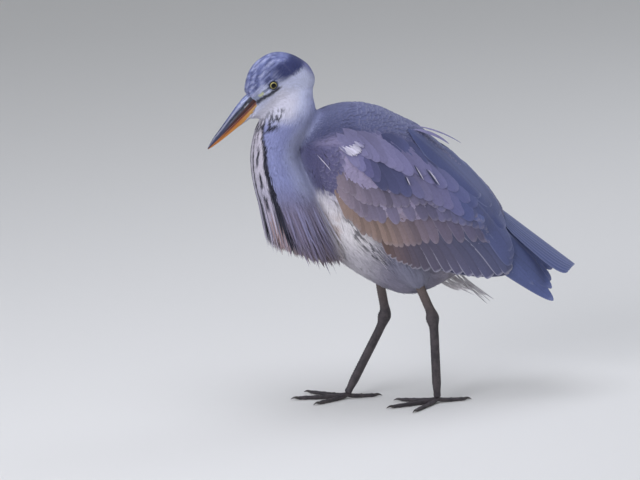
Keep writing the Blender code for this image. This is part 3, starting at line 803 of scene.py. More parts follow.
store(mesh, "root_map", np.column_stack((chart.reshape(-1, 2), np.zeros(len(mesh.loops)))), domain="CORNER")
store(mesh, "lie", lie)
store(mesh, "tint", feather_colour, "FLOAT_COLOR")
store(mesh, "long", long * MM, "FLOAT")
store(mesh, "wide", wide * MM, "FLOAT")
depth = sum(shares[part] * depth for part, depth in COAT_DEPTH.items()) * (1 - 0.7 * under_wing)
store(mesh, "depth", depth * MM, "FLOAT")
print("skin stored with", len(mesh.attributes), "attributes")


# %% [markdown]
# ## One feather, many times
# A contour feather is a thin curved blade with a shaft along its middle. Each kind is modelled once
# as a closed blade with a few dozen faces, one unit long and one wide: `v` runs across it from edge
# to edge and `u` along it from quill to tip. Its rim is marked sharp, so that light doesn't smear
# round the edge.

# %% Blade maker
def blade(name, outline, across):
    """A closed blade. outline holds (u, half width from 0 to 1), and across the v of its columns."""
    points, vanes = [(0, outline[0][0], 0)], [(0, outline[0][0], 0)]
    for u, half in outline[1:-1]:
        for v in across:
            points.append((0.5 * half * v, u, 1 - v * v))
            vanes.append((v, u, 1 - v * v))
    points.append((0, outline[-1][0], 0))
    vanes.append((0, outline[-1][0], 0))
    n, rows, tip = len(across), len(outline) - 2, len(points) - 1

    def at(row, column):
        return 1 + row * n + column

    faces, rims = [], set()
    for c in range(n - 1):
        faces.append((0, at(0, c + 1), at(0, c)))
        faces.append((tip, at(rows - 1, c), at(rows - 1, c + 1)))
        for r in range(rows - 1):
            faces.append((at(r, c), at(r, c + 1), at(r + 1, c + 1), at(r + 1, c)))
    faces.append((0, at(0, 0), at(0, n - 1)))
    faces.append((tip, at(rows - 1, n - 1), at(rows - 1, 0)))
    for r in range(rows - 1):
        faces.append((at(r, 0), at(r + 1, 0), at(r + 1, n - 1), at(r, n - 1)))
    for c in (0, n - 1):
        chain = [0] + [at(r, c) for r in range(rows)] + [tip]
        rims |= {tuple(sorted(pair)) for pair in zip(chain, chain[1:])}
    mesh = new_mesh(name, points, faces)
    mesh.shade_smooth()
    sharp = mesh.attributes.new("sharp_edge", "BOOLEAN", "EDGE")
    sharp.data.foreach_set("value", [tuple(sorted(e.vertices)) in rims for e in mesh.edges])
    store(mesh, "vane", vanes)
    return pattern(name, mesh)


def rounded(steps, blunt, root=0.25, widest=0.45):
    """An outline that widens from the quill and closes in a rounded tip."""
    rows = []
    for i in range(steps + 1):
        u = math.sin(i / steps * math.pi / 2)  # closer rows near the tip, where it rounds
        grow = root + (1 - root) * ramp(u, 0, widest)
        tip = (1 - np.clip((u - widest) / (1 - widest), 0, 1) ** blunt) ** (1 / blunt)
        rows.append((u, float(grow * tip)))
    return rows


tuft = blade("tuft", [(0, 0.3), (0.22, 0.8), (0.62, 1.0), (1, 0)], (-1, 0, 1))
lancet = blade("lancet", [(0, 0.3), (0.15, 0.6), (0.4, 1.0), (0.72, 0.72), (1, 0)], (-1, 0, 1))
soft_vane = blade("soft_vane", rounded(6, 2.2), (-1, -0.5, 0, 0.5, 1))
print(
    "blades:",
    {o.name: sum(len(p.vertices) - 2 for p in o.data.polygons) for o in (tuft, lancet, soft_vane)}
)

# %% [markdown]
# ## A tree that lays feathers over the skin
# Feathers repeat thousands of times over a curved surface, so Geometry Nodes set them. The tree
# spreads quill points over the skin, stands a blade on each along the stored lie, and makes the
# blades real. Then it draws every point of a blade to its own height over the nearest skin: the
# quill deep down and the tip at the top of the coat, so that each lies over the ones behind it, like
# tiles. Last, it gives each blade its small patch on the skin's unwrap.

# %% Tree tools
def new_tree(name, inputs):
    """A Geometry Nodes tree and its given values, with named inputs as (label, kind, value)."""
    tree = bpy.data.node_groups.new(name, "GeometryNodeTree")
    face = tree.interface
    face.new_socket("Geometry", in_out="INPUT", socket_type="NodeSocketGeometry")
    face.new_socket("Geometry", in_out="OUTPUT", socket_type="NodeSocketGeometry")
    for label, kind, value in inputs:
        socket = face.new_socket(label, in_out="INPUT", socket_type="NodeSocket" + kind)
        if value is not None:
            socket.default_value = value
    return tree, tree.nodes.new("NodeGroupInput").outputs


def end_tree(tree, geometry, finish):
    """Ends a tree: the instances are made real, and the finish is laid on them."""
    whole = add(tree, REAL, geometry)
    dressed = add(tree, "GeometryNodeSetMaterial", {"Geometry": whole, "Material": finish})
    plug(tree, dressed, tree.nodes.new("NodeGroupOutput").inputs[0])
    print(tree.name, "tree:", len(tree.nodes), "nodes")


def grow(name, tree, carrier_mesh, values, keep_attributes=("tint", "vane", "OFBake", "sharp_edge")):
    """Runs a tree on a copy of a mesh and returns the result as a plain piece with no modifier."""
    piece = new_object(name, carrier_mesh.copy())
    modifier = piece.modifiers.new(tree.name, "NODES")
    modifier.node_group = tree
    for item in tree.interface.items_tree:
        if item.item_type == "SOCKET" and item.in_out == "INPUT" and item.name in values:
            modifier[item.identifier] = values[item.name]
    made = evaluated_mesh(piece)
    made.name = name
    for label in [a.name for a in made.attributes if not a.is_required and not a.is_internal]:
        if label not in keep_attributes:
            made.attributes.remove(made.attributes[label])
    made.materials.clear()
    made.materials.append(values["Finish"])
    made.calc_loop_triangles()
    print("%-26s %7d triangles" % (name, len(made.loop_triangles)))
    return piece


# %% The coat tree
PATCH = 0.003  # each feather's patch on the unwrap
PACKING = 1.6  # points tried for each square of the spacing, before those too close are dropped

coat_tree, given = new_tree("lay_feathers", [
    ("Blade", "Object", None), ("Mask", "String", ""), ("Spacing", "Float", 0.003),
    ("Length share", "Float", 1.0), ("Width share", "Float", 1.0), ("Thickness", "Float", 0.0006),
    ("Stagger", "Float", 0.0002), ("Climb", "Float", 0.45), ("Waver", "Float", 0.15),
    ("Curl", "Float", 0.0), ("Loose", "Float", 0.0), ("Variation", "Float", 0.06),
    ("Seed", "Int", SEED), ("Finish", "Material", None),
])
t = coat_tree
long_at, wide_at, own_height = (add(t, NUMBER, name) for name in ("long", "wide", "own_height"))
skin_up = add(t, ARROW, "skin_up")

# Quill points, each with the skin's normal, a colour a little off the skin's, and a height of its own.
dense = add(t, "ShaderNodeMath.DIVIDE", PACKING, add(t, TIMES, given["Spacing"], given["Spacing"]))
spread = add(t, "GeometryNodeDistributePointsOnFaces", {
    "Mesh": given["Geometry"], "Distance Min": given["Spacing"], "Density Max": dense,
    "Density Factor": add(t, NUMBER, given["Mask"]), "Seed": given["Seed"],
}, distribute_method="POISSON")
glow = add(
    t, PLUS, 1.0, add(t, TIMES, add(t, CHANCE, {"Min": -1.0, "Max": 1.0, "Seed": 12}), given["Variation"])
)
tinted = add(t, SCALED, add(t, "GeometryNodeInputNamedAttribute.FLOAT_COLOR", "tint"), glow)
points = spread.outputs["Points"]
for name, value, kind in (
    ("skin_up", spread.outputs["Normal"], "FLOAT_VECTOR"), ("tint", tinted, "FLOAT_COLOR"),
    ("own_height", add(t, CHANCE, {"Min": 0.0, "Max": 1.0, "Seed": 13}), "FLOAT"),
):
    points = add(
        t, "GeometryNodeStoreNamedAttribute." + kind, {"Geometry": points, "Name": name, "Value": value}
    )

# A blade on each, along the lie but for a little waver, and of a size that varies by a fifth.
any_way = add(t, "FunctionNodeRandomValue.FLOAT_VECTOR", {"Min": (-1, -1, -1), "Max": (1, 1, 1), "Seed": 14})
way = add(t, SUM, add(t, ARROW, "lie"), add(t, SCALED, any_way, given["Waver"]))
turn = add(
    t, "FunctionNodeAxesToRotation", spread.outputs["Normal"], way, primary_axis="Z", secondary_axis="Y"
)
length = add(
    t, TIMES, add(t, TIMES, long_at, given["Length share"]),
    add(t, CHANCE, {"Min": 0.82, "Max": 1.18, "Seed": 15})
)
width = add(
    t, TIMES, add(t, TIMES, wide_at, given["Width share"]),
    add(t, CHANCE, {"Min": 0.8, "Max": 1.2, "Seed": 16})
)
shape = add(t, "GeometryNodeObjectInfo", {"Object": given["Blade"]}, transform_space="ORIGINAL")
stand = add(t, "GeometryNodeInstanceOnPoints", {
    "Points": points, "Instance": shape.outputs["Geometry"], "Rotation": turn,
    "Scale": add(t, COMBINED, width, length, given["Thickness"]),
})

# Every point of a blade is drawn to its height over the nearest skin, or floats where it is loose.
here = add(t, "GeometryNodeInputPosition")
near, near_up = (
    add(
        t, "GeometryNodeSampleNearestSurface.FLOAT_VECTOR",
        {"Mesh": given["Geometry"], "Value": value, "Sample Position": here}
    )
    for value in (here, add(t, "GeometryNodeInputNormal"))
)
v, u, ridge = add(t, SPLIT, add(t, ARROW, "vane")).outputs
rise = add(t, TIMES, add(t, "ShaderNodeMath.POWER", u, given["Climb"]), add(t, NUMBER, "depth"))
lifted = add(t, PLUS, rise, add(t, TIMES, own_height, given["Stagger"]))
body_height = add(t, PLUS, lifted, add(t, TIMES, ridge, given["Thickness"]))
laid = add(t, SUM, near, add(t, SCALED, add(t, "ShaderNodeVectorMath.NORMALIZE", near_up), body_height))
free = add(t, SUM, here, add(t, SCALED, skin_up, lifted))
u_square = add(t, TIMES, u, u)
let_go = add(t, TIMES, add(t, TIMES, given["Loose"], u_square), own_height)
curled = add(t, SCALED, skin_up, add(t, TIMES, add(t, TIMES, u_square, long_at), given["Curl"]))
position = add(t, SUM, add(t, "ShaderNodeMix.VECTOR", let_go, laid, free), curled)
moved = add(t, "GeometryNodeSetPosition", {"Geometry": add(t, REAL, stand), "Position": position})


def mapped(tree, geometry, v, u, size):
    """Gives each blade its patch of the unwrap, of a size round its root's place."""
    flat = add(tree, COMBINED, v, add(tree, MINUS, add(tree, TIMES, u, 2.0), 1.0))
    place = add(tree, SUM, add(tree, ARROW, "root_map"), add(tree, SCALED, flat, size))
    values = {"Geometry": geometry, "Name": "OFBake", "Value": place}
    return add(tree, "GeometryNodeStoreNamedAttribute.FLOAT2", values, domain="CORNER")


end_tree(t, mapped(t, moved, v, u, PATCH / 2), given["Finish"])

# %% [markdown]
# ## The finish of a feather
# A feather is keratin: matt, a little sheeny at grazing angles, and combed into barbs that run
# slantwise from the shaft. Real barbs are under half a millimetre apart; these are drawn about
# three times as coarse, or they would vanish. The vane attribute says where each point lies on its
# feather, so the barbs follow every blade.

# %% Feather material
BARB_SLANT = 0.14  # how far along the blade a barb runs forward from shaft to edge


def feather_material(
    name, barbs, fringe, fringe_share, shaft, contrast=0.10, roughness=0.75, tip=0.2, root_shade=0.0
):
    """Keratin vane with barbs, a paler fringe and a shaft. barbs counts them along the blade, tip is
    the share of its length that the fringe takes there, and root_shade paints shade on its covered part."""
    material, tree, shader = new_material(
        name, Roughness=roughness, Sheen_Weight=0.12, Sheen_Roughness=0.5, IOR=1.54, Specular_IOR_Level=0.25
    )
    tint = add(tree, ATTRIBUTE, attribute_name="tint")
    split = add(tree, SPLIT, add(tree, ATTRIBUTE, attribute_name="vane").outputs["Vector"])
    v, u = add(tree, "ShaderNodeMath.ABSOLUTE", split), split.outputs[1]
    slant = add(tree, MINUS, add(tree, TIMES, u, float(barbs)), add(tree, TIMES, v, barbs * BARB_SLANT))
    comb = add(tree, "ShaderNodeMath.SINE", add(tree, TIMES, slant, 2 * math.pi))
    everywhere = add(tree, PLACE).outputs["Object"]
    mottle = add(tree, NOISE, {"Vector": everywhere, "Scale": 260.0, "Detail": 3.0})
    shade = add(tree, PLUS, 1 - contrast / 2, add(tree, TIMES, comb, contrast / 2))
    shade = add(tree, TIMES, shade, add(tree, PLUS, 0.86, add(tree, TIMES, mottle, 0.28)))
    # Painted shade: the covered root of each feather is darker, and its outer part a little paler.
    covered = add(tree, SPAN, u, 0.35, 0.9, 1 - root_shade, 1 + root_shade * 0.25)
    barbed = add(tree, SCALED, tint, add(tree, TIMES, shade, covered))
    sides = add(tree, FADE, v, 0.80, 0.97, 0.0, fringe_share)
    end = add(tree, FADE, u, 1 - tip, 1 - tip * 0.15, 0.0, fringe_share)
    edged = add(tree, MIXED, add(tree, "ShaderNodeMath.MAXIMUM", sides, end), barbed, linear(fringe))
    spine = add(tree, SPAN, v, 0.03, 0.10, shaft, 0.0)
    plug(tree, add(tree, MIXED, spine, edged, linear("2F2A30")), shader.inputs["Base Color"])
    bump = add(tree, BUMP, {"Height": comb, "Strength": 0.25, "Distance": 0.0003})
    plug(tree, bump, shader.inputs["Normal"])
    return material


down = feather_material("keratin contour feathers, fine and matt", 9, "BDB9C6", 0.10, 0.0)
body_vane = feather_material("keratin contour feathers, soft vaned", 16, "B4B2C6", 0.16, 0.04, contrast=0.07)
skin_finish, tree, shader = new_material("bird skin under down, matt", Roughness=0.8)
everywhere = add(tree, PLACE).outputs["Object"]
pores = add(tree, NOISE, {"Vector": everywhere, "Scale": 900.0, "Detail": 2.0})  # 1.1 mm apart
worn = add(tree, PLUS, 0.75, add(tree, TIMES, pores, 0.3))
tint = add(tree, ATTRIBUTE, attribute_name="tint")
plug(tree, add(tree, SCALED, tint, worn), shader.inputs["Base Color"])
bump = add(tree, BUMP, {"Height": pores, "Strength": 0.3, "Distance": 0.0004})
plug(tree, bump, shader.inputs["Normal"])
skin.data.materials.clear()
skin.data.materials.append(skin_finish)
print("feather finishes:", [material.name for material in bpy.data.materials])


# %% Coats
LENGTHS_IN_MM = ("Spacing", "Thickness", "Stagger")


def lay_coat(name, mask, blade_shape, finish, slot, carrier=skin, **sizes):
    """Lays one coat where mask is set. Sizes are the tree's inputs, with lengths in millimetres."""
    store(carrier.data, "mask", mask, "FLOAT")
    values = {"Blade": blade_shape, "Mask": "mask", "Finish": finish}
    for label, size in sizes.items():
        values[label.replace("_", " ")] = size * MM if label in LENGTHS_IN_MM else size
    return settle(grow(name, coat_tree, carrier.data, values), slot)


dress = np.where(bare, 0.0, 1.0)
head_mask, neck_mask, trunk_mask, wing_mask, thigh_mask = (dress * (shares[part] > 0.5) for part in PARTS)
top_half = ramp(level, 0.42, 0.52)
shoulder_line = y < -88 + 6 * wander(places, 20, 9.0)
lesser = (z > np.interp(y, (-102, -66, -20, 40, 90, 140), (396, 372, 362, 362, 348, 330))) & (y < 60)
under = ~hidden * (trunk_mask * (1 - top_half) + thigh_mask)
face_half, neck_top = along < 172, z > 440
fine = dict(Spacing=0.8, Thickness=0.12, Stagger=0.1, Waver=0.13, Variation=0.12)
lay_coat("coat_face", head_mask * face_half, tuft, down, "crown", Seed=1, **fine)
fine = dict(Spacing=0.95, Thickness=0.14, Stagger=0.12, Waver=0.12, Variation=0.10)
lay_coat("coat_nape", head_mask * ~face_half, tuft, down, "crown", Seed=10, **fine)
short = dict(Spacing=1.25, Thickness=0.18, Stagger=0.15, Waver=0.09)
lay_coat("coat_neck_upper", neck_mask * neck_top, tuft, down, "neck", Seed=2, **short)
long_locks = dict(Spacing=1.5, Thickness=0.22, Length_share=1.25, Width_share=1.1, Stagger=0.25, Waver=0.09)
lay_coat("coat_neck_lower", neck_mask * ~neck_top, tuft, down, "neck", Seed=6, **long_locks)
tiles = dict(Spacing=4.0, Thickness=0.25, Stagger=0.1, Waver=0.07, Variation=0.04)
lay_coat(
    "coat_back", trunk_mask * top_half * ~shoulder_line, soft_vane, body_vane, "plumage", Seed=3, **tiles
)
narrow = dict(
    Spacing=2.4, Width_share=0.5, Thickness=0.25, Stagger=0.2, Waver=0.06, Climb=0.3, Variation=0.03
)
lay_coat("coat_shoulders", trunk_mask * top_half * shoulder_line, lancet, down, "plumage", Seed=11, **narrow)
hairy = dict(Spacing=2.2, Width_share=0.24, Thickness=0.3, Stagger=0.5, Waver=0.12)
lay_coat("coat_underparts", under, lancet, down, "breast", Seed=4, **hairy)
tiles = dict(Spacing=4.0, Thickness=0.3, Stagger=0.15, Waver=0.08, Variation=0.05)
lay_coat("coat_wings", wing_mask * lesser, soft_vane, body_vane, "wing", Seed=5, **tiles)

# Breast plumes: each hangs from where it grows to the ragged hem of the breast. A few wisps of the
# same kind, on their own seed, stand out from the belly.
store(skin.data, "long", np.clip(over_plume_hem + 6, 14, 100) * MM, "FLOAT")
store(skin.data, "wide", np.full(len(z), 4.2) * MM, "FLOAT")
stray = dict(
    Spacing=5.5, Width_share=0.2, Length_share=1.15, Thickness=0.4, Stagger=1.6, Waver=0.16, Loose=0.7
)
belly = ~hidden * trunk_mask * (level < 0.3) * (y > -70)
lay_coat("coat_wisps", belly, lancet, down, "breast", Variation=0.12, Curl=0.05, Seed=12, **stray)
plumes = dict(Spacing=3.4, Thickness=0.5, Stagger=2.2, Waver=0.08, Loose=1.0, Variation=0.14, Curl=0.05)
lay_coat("coat_plumes", neck_mask * ramp(-z, -400, -375), lancet, down, "breast", Seed=8, **plumes)
store(skin.data, "tint", colour, "FLOAT_COLOR")

# %% [markdown]
# ## Rows of big feathers
# Flight feathers, their coverts and the tail stand in rows. Each feather bends in a plane from its
# quill to its tip, and the row lies on the body like roof tiles: the quills deep, the tips outside,
# and each feather's leading edge over its neighbour. One tree makes every row. Its points carry each
# feather's quill, bend and tip, and a guide surface gives the height, so that the outline stays as
# it is drawn from the side.

# %% The row tree
row_tree, given = new_tree("feather_row", [
    ("Guide", "Object", None), ("Blade", "Object", None), ("Camber", "Float", 0.0012),
    ("Patch", "Float", PATCH), ("Finish", "Material", None),
])
t = row_tree
shape, surface = (
    add(t, "GeometryNodeObjectInfo", {"Object": given[name]}, transform_space="ORIGINAL").outputs["Geometry"]
    for name in ("Blade", "Guide")
)
stand = add(t, "GeometryNodeInstanceOnPoints", {"Points": given["Geometry"], "Instance": shape})
v, u, ridge = add(t, SPLIT, add(t, ARROW, "vane")).outputs
quill, bend, tip, outwards = (add(t, ARROW, name) for name in ("quill", "bend", "tip", "outwards"))

# The middle line bends from quill to tip, and each point stands out from it across the feather.
first = add(t, "ShaderNodeMix.VECTOR", u, quill, bend)
second = add(t, "ShaderNodeMix.VECTOR", u, bend, tip)
middle = add(t, "ShaderNodeMix.VECTOR", u, first, second)
run = add(t, "ShaderNodeVectorMath.SUBTRACT", second, first)
across = add(t, "ShaderNodeVectorMath.NORMALIZE", add(t, "ShaderNodeVectorMath.CROSS_PRODUCT", run, outwards))
reach = add(t, TIMES, add(t, TIMES, v, add(t, NUMBER, "span")), add(t, NUMBER, "half"))
flat = add(t, SUM, middle, add(t, SCALED, across, reach))

# It is then cast back on the guide from outside, and raised by where it lies in the row.
FAR_OUT = 0.25  # metres, past any guide
cast = add(t, "GeometryNodeRaycast", {
    "Target Geometry": surface, "Source Position": add(t, SUM, flat, add(t, SCALED, outwards, FAR_OUT)),
    "Ray Direction": add(t, SCALED, outwards, -1.0), "Ray Length": 1.0,
}).outputs
landed = add(t, "GeometryNodeSwitch.VECTOR", cast["Is Hit"], flat, cast["Hit Position"])
sit = add(t, "ShaderNodeMix.FLOAT", u, add(t, NUMBER, "sit_quill"), add(t, NUMBER, "sit_tip"))
tilted = add(t, PLUS, add(t, TIMES, v, add(t, NUMBER, "tilt")), add(t, TIMES, ridge, given["Camber"]))
raised = add(t, SCALED, outwards, add(t, PLUS, sit, tilted))
position = add(t, SUM, landed, raised)
moved = add(t, "GeometryNodeSetPosition", {"Geometry": add(t, REAL, stand), "Position": position})
end_tree(t, mapped(t, moved, v, u, add(t, TIMES, given["Patch"], 0.5)), given["Finish"])


# %% Guide surfaces for the wings
FOLD_IN = 1.7  # how far a wing comes in for each millimetre over its upper edge


def neighbours(sheet):
    """Sums of each cell's four neighbours in a sheet, with its edges carried on."""
    edge = np.pad(sheet, 1, mode="edge")
    return edge[2:, 1:-1] + edge[:-2, 1:-1] + edge[1:-1, 2:] + edge[1:-1, :-2]


def wing_guide(side, sign, step=4.0, smoothing=8):
    """A smooth sheet over the outside of one folded wing, drawn out past its edges."""
    corners, triangles = [], []
    for node in ("coverts", "secondaries", "primaries"):
        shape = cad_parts[f"wing_{side}_{node}"].data
        shape.calc_loop_triangles()
        start = len(corners)
        corners += [v.co.copy() for v in shape.vertices]
        triangles += [tuple(start + i for i in t.vertices) for t in shape.loop_triangles]
    outside = BVHTree.FromPolygons(corners, triangles)
    ys, zs = np.arange(-190, 345, step), np.arange(110, 560, step)
    sheet, body = np.full((len(ys), len(zs)), np.nan), np.zeros((len(ys), len(zs)))
    for i, y in enumerate(ys):
        for j, z in enumerate(zs):
            ray = Vector((sign * 0.4, y * MM, z * MM)), Vector((-sign, 0, 0))
            hit = outside.ray_cast(*ray)[0]
            if hit:
                sheet[i, j] = abs(hit.x) / MM
            for part in ("trunk", "thigh"):  # past the wing's edges the rows lie on the body
                hit = trees[part].ray_cast(*ray)[0]
                body[i, j] = max(body[i, j], sign * hit.x / MM if hit else 0)
    known = ~np.isnan(sheet)
    fill = np.where(known, sheet, np.nanmean(sheet))
    for _ in range(500):
        fill = np.maximum(np.where(known, fill, neighbours(fill) / 4), body + 1)
    # Above its upper edge the wing folds in over the back.
    for i in range(len(ys)):
        if known[i].any():
            top = np.flatnonzero(known[i])[-1]
            fold = fill[i, top] - FOLD_IN * (zs - zs[top])
            fill[i, top:] = np.maximum(
                np.minimum(fill[i, top:], fold[top:]), np.maximum(body[i, top:] + 1, 6)
            )
    for _ in range(smoothing):
        fill = (neighbours(fill) + 2 * fill) / 6
    points = [(sign * fill[i, j] * MM, y * MM, z * MM) for i, y in enumerate(ys) for j, z in enumerate(zs)]
    faces = [(a, d, c, b) for a, b, c, d in grid_faces(len(ys), len(zs))]
    return pattern("guide_" + side, new_mesh("guide_" + side, points, faces))


guides = {side: wing_guide(side, sign) for side, sign in SIDES}
print("guide sheets of", [len(guide.data.polygons) for guide in guides.values()], "faces")


# %% Feathers of a row
def flight_blade(name, steps, blunt, root, widest, across=(-1, -0.55, -0.12, 0, 0.12, 0.55, 1), shaft=0.35):
    """A blade for one big feather, with its shaft raised along the middle."""
    outline = rounded(steps, blunt, root, widest)
    maker = blade(name, outline, across)
    shape = maker.data
    spans = [outline[0][1]] + [half for _, half in outline[1:-1] for _ in across] + [outline[-1][1]]
    store(shape, "span", spans, "FLOAT")
    vanes = np.empty(len(shape.vertices) * 3, np.float32)
    shape.attributes["vane"].data.foreach_get("vector", vanes)
    vanes = vanes.reshape(-1, 3)
    vanes[:, 2] = 1 - vanes[:, 0] ** 2 + shaft * (vanes[:, 0] == 0) * (1 - vanes[:, 1])
    store(shape, "vane", vanes)
    return maker


remex = flight_blade("remex", 18, 2.6, 0.25, 0.35)
covert = flight_blade("covert", 10, 2.4, 0.3, 0.4)


def wing_place(points, held_high):
    """Puts (behind, height) rows on a wing: the right one is held higher and lies further back."""
    points = np.asarray(points, float)
    if not held_high:
        return points
    turn = math.radians(2.6)
    shoulder = np.array((-120, 450))
    away = points - shoulder
    c, s = math.cos(turn), math.sin(turn)
    return shoulder + np.column_stack(
        (away[:, 0] * c - away[:, 1] * s, away[:, 0] * s + away[:, 1] * c)
    ) + (7, 0)


feather_count = [0]
ROW_PATCH = 0.045  # one feather's patch on the unwrap, of which 20 by 20 fit
ROW_CAMBER = 1.2 * MM


def row_mesh(quills, bends, tips, outwards, half, sit_quill, sit_tip, tilt, tint):
    """Points that carry each feather's layout, in millimetres, for the row tree."""
    n = len(tips)
    mesh = new_mesh("row", [(0, 0, 0)] * n, [])
    for name, values in (("quill", quills), ("bend", bends), ("tip", tips)):
        store(mesh, name, np.asarray(values) * MM)
    store(mesh, "outwards", np.broadcast_to(outwards, (n, 3)))
    for name, values in (("half", half), ("sit_quill", sit_quill), ("sit_tip", sit_tip), ("tilt", tilt)):
        store(mesh, name, np.broadcast_to(values, n) * MM, "FLOAT")
    store(mesh, "tint", tint, "FLOAT_COLOR")
    cells = feather_count[0] + np.arange(n)
    feather_count[0] += n
    store(
        mesh, "root_map",
        np.column_stack(((cells % 20 + 0.5) / 20, (cells // 20 % 20 + 0.5) / 20, cells * 0))
    )
    return mesh


rng = np.random.default_rng(SEED)


def along_row(values, share):
    """Values that are spread evenly along a row, at shares of its length."""
    values = np.asarray(values, float)
    knots = np.linspace(0, 1, len(values))
    if values.ndim == 1:
        return np.interp(share, knots, values)
    return np.stack([np.interp(share, knots, column) for column in values.T], 1)


def wing_row(name, side, sign, shape, finish, tips, count, length, angles, half, sit, tilt, inks):
    """One row on a wing. tips is a curve of (behind, height), angles (quill, tip) in degrees from
    straight down towards the tail, each as (front, rear) values, and inks the colours along it."""
    ends = smooth_row(tips, count)
    share = np.linspace(0, 1, count)
    loose = shape.name in ("covert", "pointed") and "shaft" not in name
    ends = ends + rng.normal(0, 1.7 if loose else 0.8, ends.shape)
    lengths = along_row(length, share)[:, None]
    start, finish_angle = (np.radians(along_row(angle, share)) for angle in angles)
    near = ends - np.column_stack((np.sin(finish_angle), -np.cos(finish_angle))) * lengths * 0.5
    quills = near - np.column_stack((np.sin(start), -np.cos(start))) * lengths * 0.5
    held_high = sign < 0 and "scapular" not in name
    layout = [np.column_stack((np.zeros(count), wing_place(p, held_high))) for p in (quills, near, ends)]
    uneven = 1 + rng.normal(0, 0.1 if loose else 0.05, (count, 1))
    tint = (along_row([INK[ink] for ink in inks], share) * uneven).clip(0, 1)
    mesh = row_mesh(*layout, (sign, 0, 0), along_row(half, share), *sit, tilt * sign, tint)
    piece = grow(f"{name}_{side}", row_tree, mesh, {
        "Guide": guides[side], "Blade": shape, "Camber": ROW_CAMBER, "Patch": ROW_PATCH, "Finish": finish,
    })
    face_outwards(piece.data)
    return settle(piece, "flight")


# %% [markdown]
# ## Wings
# The wing is folded: the primaries lie deepest, along its lower edge, with their tips behind; the
# secondaries hang over them, then the greater and the median coverts, and the long tertials close
# the wing at the back. Every feather has a worn, paler edge, because a young bird's are months old.

# %% Wing rows
INK.update(inks(
    primary="586290", primary_edge="4A4E6A", secondary_front="665350", secondary="605A6E",
    secondary_rear="5A5E80", greater_front="957F77", greater="6E6780", greater_rear="5A6490",
    tertial="555C86", median_front="877A87", median="6F6A86", scapular="76739A",
    # The darker scapular ink is painted shade under the overlapping scapulars.
    scapular_front="63618A", scapular_rear="585F8C", scapular_dark="4F5175", scapular_pale="7B779A",
    spot="CEC9D8", under_shadow="343850", long_scapular="464E7A", tail="4A5583", wisp="D6D2D4",
))
flight_finish = feather_material(
    "keratin flight feathers, firm vaned", 60, "B4B2C2", 0.6, 0.12, contrast=0.05, roughness=0.6, tip=0.04,
    root_shade=0.12
)
plain_finish = feather_material(
    "keratin primaries and tail, firm and plain", 70, "8389A8", 0.35, 0.12, contrast=0.05, roughness=0.55,
    tip=0.04, root_shade=0.1
)
covert_finish = feather_material(
    "keratin coverts, worn pale at the tip", 26, "A89FAA", 0.26, 0.04, contrast=0.1, roughness=0.75,
    tip=0.12, root_shade=0.15
)
scapular_finish = feather_material(
    "keratin scapulars, smooth vaned", 40, "9492AE", 0.12, 0.04, contrast=0.08, roughness=0.7, tip=0.1,
    root_shade=0.2
)

squared = flight_blade("squared", 16, 4.5, 0.35, 0.35)
pointed = flight_blade("pointed", 18, 1.9, 0.3, 0.4)

